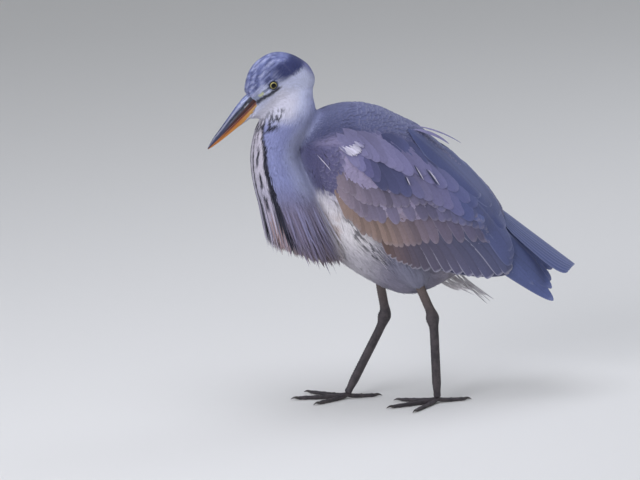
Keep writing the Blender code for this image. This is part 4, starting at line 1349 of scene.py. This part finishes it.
# name: blade, finish, tips, count, lengths, (quill angles, tip angles), half widths,
# (quill, tip) height over the guide, tilt, inks
ROWS = {
    "primary_edge": (
        remex, flight_finish, ((204, 224), (197, 234)), 2, (352, 345), ((42, 40), (87, 84)), (10, 12),
        (-5.0, -2.0), 0.8, ("primary_edge", "primary_edge"),
    ),
    "primaries": (
        pointed, plain_finish, ((250, 196), (284, 190), (284, 168)), 3, (320, 310, 320),
        ((62, 60), (40, 46)), (22, 24, 24), (-6, -2.5), 0.5, ("primary", "primary"),
    ),
    "secondaries": (
        squared, flight_finish,
        ((-16, 277), (6, 264), (24, 255), (43, 247), (85, 238), (127, 229), (165, 222), (204, 226)),
        16, (100, 130, 150), ((46, 56), (14, 20, 30)), (11, 12.5, 14), (-1.5, 1.0), 1.0,
        ("secondary_front", "secondary", "secondary_rear"),
    ),
    "greater_coverts": (
        covert, covert_finish,
        ((-92, 346), (-62, 316), (-28, 297), (10, 290), (53, 294), (141, 289), (168, 283), (184, 278)),
        28, (84, 84, 88), ((34, 46), (10, 28)), (8.5, 10, 12), (-1.5, 1.4), 0.35,
        ("greater_front", "greater_front", "greater", "greater_rear"),
    ),
    "median_coverts": (
        covert, covert_finish, (
            (-100, 378), (-70, 352), (-37, 338), (52, 338), (105, 326), (150, 311), (168, 302)
        ),
        24, (60, 62, 68), ((28, 48), (10, 32)), (9.5, 11, 12.5), (-1.5, 1.9), 0.3,
        ("median_front", "median", "greater_rear"),
    ),
    "marginal_coverts": (
        covert, covert_finish, (
            (-102, 402), (-66, 376), (-20, 364), (40, 366), (90, 352), (128, 337), (148, 326)
        ),
        25, (44, 52, 60), ((28, 46), (12, 34)), (9, 10.5, 12), (-1.5, 2.3), 0.3,
        ("median_front", "median", "greater_rear"),
    ),
    "tertials": (
        remex, plain_finish, ((203, 240), (206, 252), (203, 266)), 3, (160, 175, 190),
        ((46, 50), (24, 30)), (18, 19), (0, 2.6), 0.7, ("tertial", "tertial"),
    ),
    "long_scapulars": (
        remex, plain_finish, ((196, 306), (188, 326), (172, 346), (150, 366)), 4, (150, 180),
        ((44, 50), (36, 42)), (17, 18), (0, 2.2), 0.3, ("long_scapular", "long_scapular"),
    ),
    "scapulars_low": (
        covert, scapular_finish, (
            (-78, 442), (-56, 422), (-30, 398), (14, 382), (52, 374), (92, 352), (126, 330)
        ),
        13, (66, 92, 104), ((40, 52), (20, 36)), (12, 15, 16), (-1, 3.4), 0.35,
        # Painted shade: the middle feathers of this row take the darker scapular ink, as shade under the
        # scapulars above.
        (
            "scapular_pale", "scapular_front", "scapular_dark", "scapular_dark", "scapular_pale",
            "scapular", "scapular_rear"
        ),
    ),
    "scapulars_middle": (
        covert, scapular_finish, ((-62, 456), (-36, 444), (0, 428), (46, 412), (94, 384), (140, 352)),
        13, (60, 84, 96), ((50, 56), (28, 40)), (12, 15, 16), (-1, 2.6), 0.3,
        ("scapular_pale", "scapular_pale", "scapular", "scapular_rear"),
    ),
    "scapulars_high": (
        covert, scapular_finish, ((14, 452), (40, 438), (76, 418), (118, 392), (156, 366), (184, 340)),
        12, (56, 76, 90), ((60, 56), (42, 42)), (12, 13, 14), (-1.5, 0.6), 0.2,
        ("mantle", "mantle", "scapular_rear"),
    ),
    "shoulder_spot": (
        pointed, body_vane, ((-98, 466), (-91, 460), (-82, 460), (-73, 465), (-65, 472)), 28, (15, 21, 12),
        ((56, 56), (40, 52)), (2.0, 2.4), (2.2, 4.2), 0.2,
        ("scapular_pale", "spot", "spot", "spot", "scapular_pale"),
    ),
    "shaft_shadows": (
        pointed, body_vane, ((9.6, 402), (34.6, 408), (64.6, 396)), 3, (20, 30, 38),
        ((24, 38), (22, 30)), (1.3, 1.5), (5.5, 5.7), 0.1, ("under_shadow", "under_shadow"),
    ),
    "pale_shafts": (
        pointed, body_vane, ((12, 403), (37, 409), (67, 397)), 3, (17, 26, 34),
        ((24, 38), (22, 30)), (0.9, 1.1), (6.0, 6.2), 0.1, ("spot", "spot"),
    ),
    "pale_shaft_front": (
        pointed, body_vane, ((-125, 434), (-124, 434)), 1, (34, 34), ((42, 42), (36, 36)), (0.8, 0.8),
        (4.3, 4.3), 0.1, ("spot", "spot"),
    ),
}
for side, sign in SIDES:
    for name, layout in ROWS.items():
        wing_row(name, side, sign, *layout)
    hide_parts(f"wing_{side}_secondaries")
    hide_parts(f"wing_{side}_primaries")

# %% Loose plumes
def loose_plumes(name, quills, bends, tips, half, ink, outwards, slot):
    """Free feathers that keep to no guide surface, from rows of (out, behind, height) in mm."""
    tint = plain(tips, ink) * (1 + rng.normal(0, 0.07, (len(tips), 1)))
    mesh = row_mesh(quills, bends, tips, outwards, half, 0, 0, 0, tint.clip(0, 1))
    piece = grow(name, row_tree, mesh, {
        "Blade": pointed, "Camber": 0.4 * MM, "Patch": ROW_PATCH, "Finish": down,
    })
    face_outwards(piece.data)
    settle(piece, slot)


VENT_COUNT = 26
share = rng.uniform(0, 1, (VENT_COUNT, 1))
spread = rng.uniform(-1, 1, (VENT_COUNT, 1))
quills = np.hstack((spread * 16, 78 + 40 * share, 212 + 20 * share))
tips = np.hstack((spread * 24, 128 + 52 * share, 196 - 22 * share)) + rng.normal(0, 4, (VENT_COUNT, 3))
bends, half = (quills + tips) / 2 + (0, 4, -7), rng.uniform(1.2, 2.6, VENT_COUNT)
loose_plumes("undertail_plumes", quills, bends, tips, half, "wisp", (0.5, 0, 0.87), "breast")
quills, tips = np.array(((24, 30, 494), (28, 30, 488))), np.array(((22, 121, 456), (26, 98, 457)))
bends = (quills + tips) / 2 + (0, 6, 9)
loose_plumes(
    "loose_back_feathers", quills, bends, tips, (1.8, 3.8), "scapular_pale", (0.6, 0.2, 0.77), "plumage"
)

# %% Tail
TAIL_ROOT, TAIL_TIP = np.array((0, 170, 349)), np.array((0, 336, 214))
TAIL_HALF, TAIL_ARCH = 33, 19
tail_way = unit(TAIL_TIP - TAIL_ROOT)
tail_up = np.array((0, -tail_way[2], tail_way[1]))
across = np.array((1, 0, 0))
grid = []
for share in np.linspace(-0.4, 1.3, 24):
    for out in np.linspace(-2, 2, 33):
        middle = TAIL_ROOT + (TAIL_TIP - TAIL_ROOT) * share + across * (out * TAIL_HALF)
        grid.append(tuple((middle + tail_up * (3 - TAIL_ARCH * out * out)) * MM))
guides["tail"] = pattern("guide_tail", new_mesh("guide_tail", grid, grid_faces(24, 33)))

# Twelve feathers, by how far out each stands as a share of the tail's half width.
outs = np.array((-0.75, -0.62, -0.49, -0.36, -0.22, -0.06, 0.75, 0.62, 0.49, 0.36, 0.22, 0.06))
tips = TAIL_TIP - tail_way * (6 + 16 * np.abs(outs[:, None])) + across * outs[:, None] * TAIL_HALF
quills = TAIL_ROOT - tail_way * 10 + across * outs[:, None] * 12
deep = 1.8 - 3.4 * np.abs(outs)
tint = plain(outs, "tail") * (1 + rng.normal(0, 0.04, (len(outs), 1)))
rectrix = flight_blade("rectrix", 16, 3.2, 0.4, 0.4)
tilt = np.where(outs < 0, -0.5, 0.5)
mesh = row_mesh(quills, (quills + tips) / 2, tips, tail_up, 19, deep - 2, deep, tilt, tint)
tail = grow("tail_feathers", row_tree, mesh, {
    "Guide": guides["tail"], "Blade": rectrix, "Camber": 1.0 * MM, "Patch": ROW_PATCH, "Finish": plain_finish,
})
settle(tail, "flight", "tail")

# %% [markdown]
# ## Bill
# The bill is bone in a horny sheath: two long wedges with flat sides, a rounded ridge along the top,
# a furrow that runs forward from the slit of each nostril, and cutting edges that meet in one line.
# Its sections change steadily from base to tip, so each half is lofted through a few sections and
# the furrow and nostril are pressed in afterwards.

# %% Lofting helper
def skinned_rings(name, rings, **layers):
    """A closed piece through rings of points in millimetres, each the same number of points."""
    rings = np.asarray(rings, float)
    rows, around = rings.shape[:2]
    points = [tuple(p) for ring in rings for p in ring * MM]
    points += [tuple(rings[0].mean(0) * MM), tuple(rings[-1].mean(0) * MM)]
    faces, middle, last = grid_faces(rows, around, closed=True), rows * around, (rows - 1) * around
    faces += [(middle, (c + 1) % around, c) for c in range(around)]
    faces += [(middle + 1, last + c, last + (c + 1) % around) for c in range(around)]
    mesh = new_mesh(name, points, faces)
    for label, values in layers.items():
        values = np.asarray(values, float)
        store(mesh, label, np.vstack((values.reshape(-1, 3), values[0].mean(0), values[-1].mean(0))))
    face_outwards(mesh)
    mesh.shade_smooth()
    return mesh


# Distance from the tip, height of the upper and of the lower edge over the mouth line, half width.
BILL = np.array((
    (0.0, 0.5, -0.5, 0.4), (1.5, 1.3, -1.2, 0.9), (8, 3.6, -3.2, 1.9), (20, 6.8, -5.8, 3.4),
    (40, 9.6, -8.8, 5.2), (64, 13.4, -12.0, 7.4), (84, 16.6, -15.6, 9.0), (104, 18.6, -18.0, 10.4),
    (116, 17.6, -18.5, 10.8), (126, 13.0, -16.0, 9.6),
))
BILL_ROWS, BILL_AROUND = 110, 26


def bill_half(upper):
    """Rings of one half of the bill, and each point's (along, height, out) on the head's axes."""
    rings, seats = [], []
    edge, keel, lip = (0.5, 0.9, 0.12) if upper else (-0.6, -1.0, -0.12)
    for along in np.concatenate((np.linspace(0, 12, 18), np.linspace(12.8, 126, BILL_ROWS))):
        top, bottom, half = (np.interp(along, BILL[:, 0], BILL[:, k]) for k in (1, 2, 3))
        tall = top if upper else -bottom
        ring = []
        for angle in np.linspace(0, math.pi, BILL_AROUND):
            turn = angle / math.pi * 2 - 1  # -1 on one cutting edge, 0 on the ridge, 1 on the other
            lean = abs(turn) * math.pi / 2
            out = half * math.sin(lean) ** (2 / 1.75)
            rise = tall * math.cos(lean) ** (2 / 1.55)
            share = rise / tall
            if upper:
                furrow = band(share, 0.50, 0.05, 0.10) * ramp(along, 44, 62) * (1 - ramp(along, 103, 107))
                slit = band(share, 0.50, 0.04, 0.05) * band(along, 98, 5.0, 1.6)
                side_flat = 0.5 * band(share, 0.3, 0.12, 0.2)
                pressed = 0.75 * furrow + 1.3 * slit + 0.3 * side_flat
            else:
                pressed = 0.5 * band(share, 0.55, 0.05, 0.12)
            out -= pressed * min(1, half / 5)
            ring.append((math.copysign(out, turn), rise if upper else -rise))
        ring += [(0.75 * half, edge), (0.0, keel), (-0.75 * half, edge)]
        rings.append([on_head(along, h + lip, x) for x, h in ring])
        seats.append([(along, h, abs(x)) for x, h in ring])
    return rings, seats


# %% Bill finishes
HORN_ROUGHNESS = 0.32


def horn_material(name, build):
    """Keratin sheath: smooth, a little waxy, with growth lines along it and fine scratches."""
    material, tree, shader = new_material(
        name, Roughness=HORN_ROUGHNESS, IOR=1.55, Coat_Weight=0.25, Coat_Roughness=0.18
    )
    seat = add(tree, ATTRIBUTE, attribute_name="seat").outputs["Vector"]
    along, height = add(tree, SPLIT, seat).outputs[:2]
    stretch = add(tree, "ShaderNodeVectorMath.MULTIPLY", seat, (0.05, 1.4, 1.4))
    grain = add(tree, NOISE, {"Vector": stretch, "Scale": 1.0, "Detail": 6.0, "Roughness": 0.65})
    plug(tree, build(tree, along, height, grain), shader.inputs["Base Color"])
    rough = add(tree, SPAN, grain, 0.3, 0.7, HORN_ROUGHNESS - 0.07, HORN_ROUGHNESS + 0.12)
    plug(tree, rough, shader.inputs["Roughness"])
    bump = add(tree, BUMP, {"Height": grain, "Strength": 0.35, "Distance": 0.0005})
    plug(tree, bump, shader.inputs["Normal"])
    return material


def slate_horn(tree, along, height, grain):
    """Slate with a paler ridge and pale patches over the base as painted highlights, a furrow darkened
    as painted shade, and a red line at the cutting edge.
    """
    share = add(tree, "ShaderNodeMath.DIVIDE", height, add(tree, PLUS, 2.5, add(tree, TIMES, along, 0.17)))
    colour = add(tree, MIXED, add(tree, FADE, grain, 0.38, 0.66), linear("22263F"), linear("3F456C"))
    # Painted highlight: the ridge along the top is paler.
    colour = add(tree, MIXED, add(tree, FADE, height, 8.0, 15.0, 0.0, 0.6), colour, linear("6C74A2"))
    # Painted highlight: pale patches over the ridge near the base.
    base_highlight = add(
        tree, TIMES, add(tree, FADE, grain, 0.50, 0.58), add(tree, FADE, along, 78.0, 100.0, 0.0, 0.8)
    )
    base_highlight = add(tree, TIMES, base_highlight, add(tree, FADE, height, 5.0, 9.0))
    colour = add(tree, MIXED, base_highlight, colour, linear("B4BEE2"))
    # Painted shade: the furrow along each side is darkened near black, as shade in the recess.
    dark = add(tree, TIMES, add(tree, FADE, share, 0.26, 0.34), add(tree, FADE, share, 0.66, 0.54))
    dark = add(tree, TIMES, dark, add(tree, FADE, along, 40.0, 70.0, 0.0, 0.85))
    colour = add(tree, MIXED, dark, colour, linear("0E1020"))
    red = add(tree, TIMES, add(tree, FADE, share, 0.34, 0.24), add(tree, FADE, along, 22.0, 60.0, 0.35, 1.0))
    return add(tree, MIXED, red, colour, linear("3A100C"))


def amber_horn(tree, along, height, grain):
    """Amber, paler towards the base and below, with a red line at the cutting edge."""
    colour = add(tree, MIXED, add(tree, FADE, grain, 0.3, 0.7), linear("C06E17"), linear("DB8C28"))
    colour = add(tree, MIXED, add(tree, FADE, along, 66.0, 112.0, 0.0, 0.9), colour, linear("D9B374"))
    colour = add(tree, MIXED, add(tree, FADE, height, -5.0, -10.0, 0.0, 0.4), colour, linear("E6AE50"))
    lip = add(tree, TIMES, add(tree, FADE, height, -4.6, -2.4), add(tree, FADE, along, 14.0, 60.0, 0.3, 0.95))
    return add(tree, MIXED, lip, colour, linear("6A1E10"))


sheaths = {}
for half, build, shade in (("upper", slate_horn, "slate"), ("lower", amber_horn, "amber")):
    rings, seats = bill_half(half == "upper")
    mesh = skinned_rings("bill_sheath_" + half, rings, seat=seats)
    sheaths[half] = new_object(mesh.name, mesh, horn_material("keratin bill sheath, " + shade, build))
    settle(sheaths[half], half + "_bill", "bill_" + half)
    print(mesh.name, len(mesh.polygons), "faces")

# %% [markdown]
# ### The feathered chin
# White feathers run forward under the lower bill in a wedge, on both sides and below. They grow on
# the sheath itself, so the lower bill is their carrier.

# %% Chin feathers
sheath = sheaths["lower"].data
chin_places, chin_facing = vertices_of(sheath) / MM, vertices_of(sheath, "normal")
chin_along, chin_height = head_place(chin_places)
edge_height = np.interp(chin_along, (62, 80, 100, 116, 124), (-12.5, -11, -8.5, -4.5, -2))
chin_lie = np.tile(HEAD_BACK - HEAD_UP * 0.15, (len(chin_places), 1))
chin_lie = unit(chin_lie - chin_facing * (chin_lie * chin_facing).sum(1, keepdims=True))
nearest = [skin_points.find(Vector(p * MM))[1] for p in chin_places]
for label, values, kind in (
    ("lie", chin_lie, "FLOAT_VECTOR"), ("root_map", skin_map[nearest], "FLOAT_VECTOR"),
    ("tint", plain(chin_places, "throat"), "FLOAT_COLOR"),
    ("long", (4.5 + 5 * ramp(chin_along, 70, 110)) * MM, "FLOAT"),
    ("wide", np.full(len(chin_places), 1.2 * MM), "FLOAT"),
    ("depth", (0.6 + 1.6 * ramp(chin_along, 70, 118)) * MM, "FLOAT"),
):
    store(sheath, label, values, kind)
lay_coat(
    "coat_chin", (chin_height < edge_height) & (chin_along > 60), tuft, down, "breast",
    carrier=sheaths["lower"], Spacing=1.0, Thickness=0.15, Stagger=0.12, Waver=0.14, Seed=9,
)

# %% [markdown]
# ## Eyes
# A heron's eye is a ball of about 17 mm, of which the lids leave a disc of 13 mm. Its iris is pale
# yellow with a fine dark rim, and the pupil is black. The wet shine comes from a clear coat on the
# ball itself, which needs no glass shell in front to darken the iris.

# %% Eyes
def eye_ball(name, sign):
    """The mesh of one eye, with a cornea that stands out a little. disc is the place on the ball."""
    centre, axis = eye_seat(sign)
    side_way = unit(np.cross((0, 0, 1), axis))
    up_way = np.cross(axis, side_way)
    rings, discs = [], []
    for turn in np.linspace(0.02, math.pi - 0.02, 40):
        bulge = 1 + 0.05 * ramp(math.cos(turn), 0.66, 0.95)
        around = np.linspace(0, 2 * math.pi, 64, endpoint=False)
        discs.append([
            np.array(
                (math.sin(turn) * math.cos(a), math.sin(turn) * math.sin(a), math.cos(turn))
            ) for a in around
        ])
        rings.append([
            centre + EYE_RADIUS * bulge * (side_way * x + up_way * y + axis * z) for x, y, z in discs[-1]
        ])
    return skinned_rings(name, rings, disc=discs)


wet_eye, tree, shader = new_material(
    "wet eye, clear cornea over a pigmented iris",
    Roughness=0.3, Coat_Weight=0.3, Coat_Roughness=0.02, IOR=1.2,
)
x, y = add(tree, SPLIT, add(tree, ATTRIBUTE, attribute_name="disc").outputs["Vector"]).outputs[:2]
squares = [add(tree, "ShaderNodeMath.POWER", way, 2.0) for way in (x, y)]
radius = add(tree, "ShaderNodeMath.SQRT", add(tree, PLUS, *squares))
angle = add(tree, "ShaderNodeMath.ARCTAN2", y, x)
fibres = add(tree, COMBINED, add(tree, TIMES, angle, 9.0), add(tree, TIMES, radius, 4.0))
spokes = add(tree, NOISE, {"Vector": fibres, "Scale": 1.0, "Detail": 4.0})
iris = add(tree, MIXED, add(tree, FADE, spokes, 0.3, 0.7), linear("83783E"), linear("B5AA62"))
# A pale ring round the pupil, the iris's dark rim, and the pupil: (from, to, strength, colour).
for start, end, most, code in (
    (0.60, 0.54, 0.5, "D6CC86"), (0.63, 0.68, 1.0, "1C1A18"), (0.52, 0.49, 1.0, "050508")
):
    iris = add(tree, MIXED, add(tree, FADE, radius, start, end, 0.0, most), iris, linear(code))
plug(tree, iris, shader.inputs["Base Color"])
for side, sign in SIDES:
    name = "eye_ball_" + side
    settle(new_object(name, eye_ball(name, sign), wet_eye), "eye", "eye_" + side)
    print(name, "in place")

# %% [markdown]
# ## Legs and feet
# The bare leg is a thin bone and its tendons in dry, scaly skin: broad plates called scutes down the
# front, and a net of small scales round the sides and back. The leg is a tube along the bones, with
# the net pressed into it; Geometry Nodes then lay the scutes along the front and over each toe.

# %% Tube with scales
def distance_along(path):
    """How far along a path each of its points lies."""
    return np.concatenate(([0], np.cumsum(np.linalg.norm(np.diff(path, axis=0), axis=1))))


def frames_along(path, front):
    """For points on a path: the way along it, and its front and outer sides."""
    front = np.asarray(front, float)
    way = unit(np.gradient(path, axis=0))
    fore = unit(front - way * (way @ front)[:, None])
    return way, fore, np.cross(way, fore)


def net(a, b, pitch):
    """Grooves of a net of six-sided scales at places (a, b): 1 in a groove and 0 on a scale."""
    best = np.full((2, *a.shape), 1e9)
    row = np.floor(b / (pitch * 0.866))
    for dr in (-1, 0, 1, 2):
        r = row + dr
        shift = np.where(r % 2 == 0, 0.0, 0.5) * pitch
        column = np.floor((a - shift) / pitch)
        for dc in (-1, 0, 1, 2):
            away = np.hypot(a - (column + dc) * pitch - shift, b - r * pitch * 0.866)
            nearer = away < best[0]
            best[1] = np.where(nearer, best[0], np.minimum(best[1], away))
            best[0] = np.where(nearer, away, best[0])
    return 1 - ramp(best[1] - best[0], 0.0, pitch * 0.22)


def limb_tube(name, path, radii, front, around=40, deep=1.0, pitch=2.3, relief=0.22, on_floor=False):
    """A closed limb. radii go across it, and deep makes it deeper from front to back."""
    _, fore, outer = frames_along(path, front)
    turns = np.linspace(0, 2 * math.pi, around, endpoint=False)
    run, deep, rings = distance_along(path), np.broadcast_to(deep, len(path)), []
    for i, centre in enumerate(path):
        a = turns / (2 * math.pi) * max(4, round(2 * math.pi * radii[i] / pitch)) * pitch
        size = radii[i] - relief * net(a, np.full(around, run[i]), pitch)
        ring = centre + (np.cos(turns) * size * deep[i])[:, None] * fore[i]
        ring = ring + (np.sin(turns) * size)[:, None] * outer[i]
        if on_floor:
            ring[:, 2] = np.maximum(ring[:, 2], 0)
        rings.append(ring)
    return skinned_rings(name, rings)


def bent_path(points, step, bend=0.22):
    """A path through a few joints, rounded at each of them."""
    points = [np.asarray(p, float) for p in points]
    line = [points[0]]
    for a, b, c in zip(points, points[1:], points[2:]):
        enter, leave = b + (a - b) * bend, b + (c - b) * bend
        line += [(1 - t) ** 2 * enter + 2 * t * (1 - t) * b + t * t * leave for t in np.linspace(0, 1, 9)]
    line = np.array(line + [points[-1]])
    run = distance_along(line)
    even = np.linspace(0, run[-1], int(run[-1] / step))
    return np.stack([np.interp(even, run, line[:, k]) for k in range(3)], 1)


# Joints of each leg: (out from the middle, behind, height).
LEGS = {
    "left": {
        "knee": (42, 10, 300), "feather_end": (34, 46, 205), "hock": (34, 69, 152), "ankle": (35, 76, 11)
    },
    "right": {
        "knee": (42, -20, 296), "feather_end": (33, -7, 200), "hock": (34, 4, 143), "ankle": (35, -66, 11)
    },
}
FORWARDS, UPWARDS = (0, -1, 0), (0, 0, 1)
LEG_RADIUS, HOCK_RADIUS, LEG_DEEP = 5.6, 8.2, 1.4  # the leg is a flat oval, deeper from front to back
# Toes: (degrees from straight ahead, length, radius).
TOES = {"inner": (-34, 76, 4.1), "middle": (0, 98, 4.3), "outer": (33, 84, 4.0), "hind": (172, 62, 4.0)}
TOE_DEEP = 0.95
SCUTE_SUNK = 0.5  # how deep the middle of a scute is pressed into the skin
TOE_HEADING = 10  # degrees that each foot turns out

scute_tree, given = new_tree("lay_scutes", [("Scute", "Object", None), ("Finish", "Material", None)])
t = scute_tree
plate = add(t, "GeometryNodeObjectInfo", {"Object": given["Scute"]}, transform_space="ORIGINAL")
axes = add(t, ARROW, "outwards"), add(t, ARROW, "along")
turn = add(t, "FunctionNodeAxesToRotation", *axes, primary_axis="Z", secondary_axis="Y")
stand = add(t, "GeometryNodeInstanceOnPoints", {
    "Points": given["Geometry"], "Instance": plate.outputs["Geometry"], "Rotation": turn,
    "Scale": add(t, ARROW, "size"),
})
end_tree(t, stand, given["Finish"])


def scute_shape():
    """One plate: a half pipe section, domed, one unit wide, long and high."""
    us, vs = np.linspace(-0.5, 0.5, 5), np.linspace(-1, 1, 7)
    points = []
    for top in (True, False):
        for u in us:
            for v in vs:
                dome = (1 - (2 * u) ** 4) * (1 - v**4)
                along = u * (1 - 0.18 * v * v) * (1 if top else 0.96)
                points.append((0.5 * v, along, -0.55 * v * v + (0.22 * dome if top else -0.15)))
    n, m = len(us), len(vs)
    under = n * m
    faces = grid_faces(n, m)
    faces += [tuple(under + k for k in face[::-1]) for face in faces]
    rim = [*range(m), *(i * m + m - 1 for i in range(1, n))]
    rim += [*((n - 1) * m + j for j in range(m - 2, -1, -1)), *(i * m for i in range(n - 2, 0, -1))]
    faces += [(b, a, under + a, under + b) for a, b in zip(rim, rim[1:] + rim[:1])]
    mesh = new_mesh("scute", points, faces)
    mesh.shade_smooth()
    return pattern("scute", mesh)


scute = scute_shape()


def lay_scutes(name, rows):
    """rows: (place, way along, way outwards, (width, length, height)) for each plate, in millimetres."""
    places, along, outwards, sizes = (np.array(column) for column in zip(*rows))
    mesh = new_mesh(name, [tuple(place) for place in places * MM], [])
    for label, values in (("along", along), ("outwards", outwards), ("size", sizes * MM)):
        store(mesh, label, values)
    return grow(name, scute_tree, mesh, {"Scute": scute, "Finish": dry_skin})


# %% Leg finishes
dry_skin, tree, shader = new_material("scaly leg skin, dry keratin", Roughness=0.62, IOR=1.5)
place = add(tree, PLACE).outputs["Object"]
spots = add(tree, NOISE, {"Vector": place, "Scale": 90.0, "Detail": 5.0, "Roughness": 0.6})
grains = add(tree, "ShaderNodeTexVoronoi", {"Vector": place, "Scale": 900.0})  # 1.1 mm grains of skin
high_up = add(tree, SPLIT, place).outputs[2]
colour = add(tree, MIXED, add(tree, FADE, spots, 0.35, 0.65), linear("332E33"), linear("4E4649"))
colour = add(tree, MIXED, add(tree, FADE, high_up, 0.14, 0.21, 0.0, 0.8), colour, linear("6F605C"))
colour = add(tree, MIXED, add(tree, FADE, grains, 0.2, 0.7, 0.0, 0.35), colour, linear("262325"))
plug(tree, colour, shader.inputs["Base Color"])
bump = add(tree, BUMP, {"Height": grains, "Strength": 0.35, "Distance": 0.0004})
plug(tree, bump, shader.inputs["Normal"])
claw_horn, tree, shader = new_material(
    "claw horn, dark and polished", Roughness=0.35, IOR=1.55, Coat_Weight=0.2
)
noise = add(tree, NOISE, {"Vector": add(tree, PLACE).outputs["Object"], "Scale": 400.0})
plug(tree, add(tree, MIXED, noise, linear("1E1A1B"), linear("443C38")), shader.inputs["Base Color"])
print("leg finishes:", dry_skin.name, "and", claw_horn.name)


# %% Legs, toes and claws
def scute_row(path, front, radii, deep, start, stop, step, wide, length, tall, sunk):
    """Plates along one side of a limb, from start to stop before its end, a step apart.
    Their width and height are shares of the limb's radius, and all the rest is in millimetres."""
    way, fore, _ = frames_along(path, front)
    run, deep = distance_along(path), np.broadcast_to(deep, len(path))
    rows, at = [], start
    while at < run[-1] - stop:
        i = int(np.argmin(np.abs(run - at)))
        place = path[i] + fore[i] * (radii[i] * deep[i] - sunk)
        rows.append((place, way[i], fore[i], (radii[i] * wide, length, radii[i] * tall)))
        at += step
    return rows


def bare_leg(name, joints):
    """The mesh of one leg from under the feathers to the ankle, and the plates down its front."""
    top = joints["feather_end"] + unit(joints["knee"] - joints["feather_end"]) * 26
    path = bent_path((top, joints["feather_end"], joints["hock"], joints["ankle"] - (0, 0, 2)), 1.0)
    run = distance_along(path)
    hock_at = run[np.argmin(np.linalg.norm(path - joints["hock"], axis=1))]
    radii = LEG_RADIUS * (1.0 + 0.12 * ramp(-run, -30, 0))
    radii += (HOCK_RADIUS - LEG_RADIUS) * np.exp(-(((run - hock_at) / 11.0) ** 2))
    radii += 0.7 * ramp(run, run[-1] - 14, run[-1] - 2)
    radii *= 1 - 0.5 * ramp(run, run[-1] - 3.0, run[-1])
    deep = LEG_DEEP - 0.4 * ramp(run, run[-1] - 30, run[-1] - 4)
    plates = scute_row(path, FORWARDS, radii, deep, 30.0, 5, 4.4, 1.45, 4.3, 0.79, SCUTE_SUNK)
    return limb_tube(name, path, radii, FORWARDS, deep=deep), plates


def bare_toe(ankle, heading, length, radius, knuckles):
    """The meshes of one toe and its claw, and the plates along the toe's top."""
    ahead = np.array((math.sin(heading), -math.cos(heading), 0.0))
    ground = ankle * (1, 1, 0)
    start = ground + np.array((0, 0, radius + 3.4))
    second = start + ahead * length * 0.12 + (0, 0, -2.6)
    third = ground + ahead * length * 0.35 + (0, 0, radius * 0.95)
    path = bent_path((start, second, third, ground + ahead * (length - 11) + (0, 0, radius * 0.8)), 0.9, 0.35)
    run = distance_along(path)
    swell = sum(0.13 * np.exp(-(((run / run[-1] - at) / 0.035) ** 2)) for at in knuckles)
    radii = radius * (1.02 - 0.3 * run / run[-1] + swell)
    radii *= 1 - 0.6 * ramp(run, run[-1] - 3, run[-1])
    toe = limb_tube("toe", path, radii, UPWARDS, 26, TOE_DEEP, pitch=1.9, relief=0.16, on_floor=True)
    plates = scute_row(path, UPWARDS, radii, TOE_DEEP, 7.0, 3, 3.1, 1.8, 3.0, 0.62, SCUTE_SUNK * 0.6)
    shares = np.linspace(0, 1, 14)
    drops = [2.2 * math.sin(math.pi * share * 0.9) - radius * 0.62 * share for share in shares]
    curve = np.array([path[-3] + ahead * 13.5 * share + (0, 0, drop) for share, drop in zip(shares, drops)])
    sizes = radii[-8] * 0.62 * (1 - shares**1.6) + 0.18
    curve[:, 2] = np.maximum(curve[:, 2], sizes + 0.05)
    claw = limb_tube("claw", curve, sizes, UPWARDS, 12, 1.25, relief=0.0, on_floor=True)
    return toe, claw, plates


def joined_piece(name, meshes, finish):
    """One object from several meshes."""
    joined = bmesh.new()
    for part in meshes:
        joined.from_mesh(part)
    mesh = new_mesh(name, [], [])
    joined.to_mesh(mesh)
    joined.free()
    mesh.shade_smooth()
    return new_object(name, mesh, finish)


for side, sign in SIDES:
    joints = {k: np.array((sign * p[0], p[1], p[2]), float) for k, p in LEGS[side].items()}
    mesh, plates = bare_leg("leg_skin_" + side, joints)
    settle(new_object(mesh.name, mesh, dry_skin), "leg", "shank_" + side, "tarsus_" + side)
    toes, claws = [], []
    for toe, (angle, length, radius) in TOES.items():
        heading = math.radians(sign * (angle + TOE_HEADING))
        knuckles = (0.5, 0.86) if toe == "hind" else (0.36, 0.62, 0.84)
        skin_part, claw_part, row = bare_toe(joints["ankle"], heading, length, radius, knuckles)
        toes.append(skin_part)
        claws.append(claw_part)
        plates += row
    settle(joined_piece("toes_" + side, toes, dry_skin), "leg", *(f"toe_{side}_{toe}" for toe in TOES))
    settle(joined_piece("claws_" + side, claws, claw_horn), "leg")
    settle(lay_scutes("scutes_" + side, plates), "leg")
    print(side, "leg:", len(plates), "plates")
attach(skin, "root")
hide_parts(*FLESH)

# %% [markdown]
# ## Clearing up
# The blades, the scute and the guide sheets were only patterns for the trees, and every feather is a
# plain mesh by now, so they go. The coat may stand a little proud of it, and no more.

# %% Helpers
for helper in (tuft, lancet, soft_vane, remex, covert, squared, pointed, rectrix, scute, *guides.values()):
    bpy.data.objects.remove(helper)
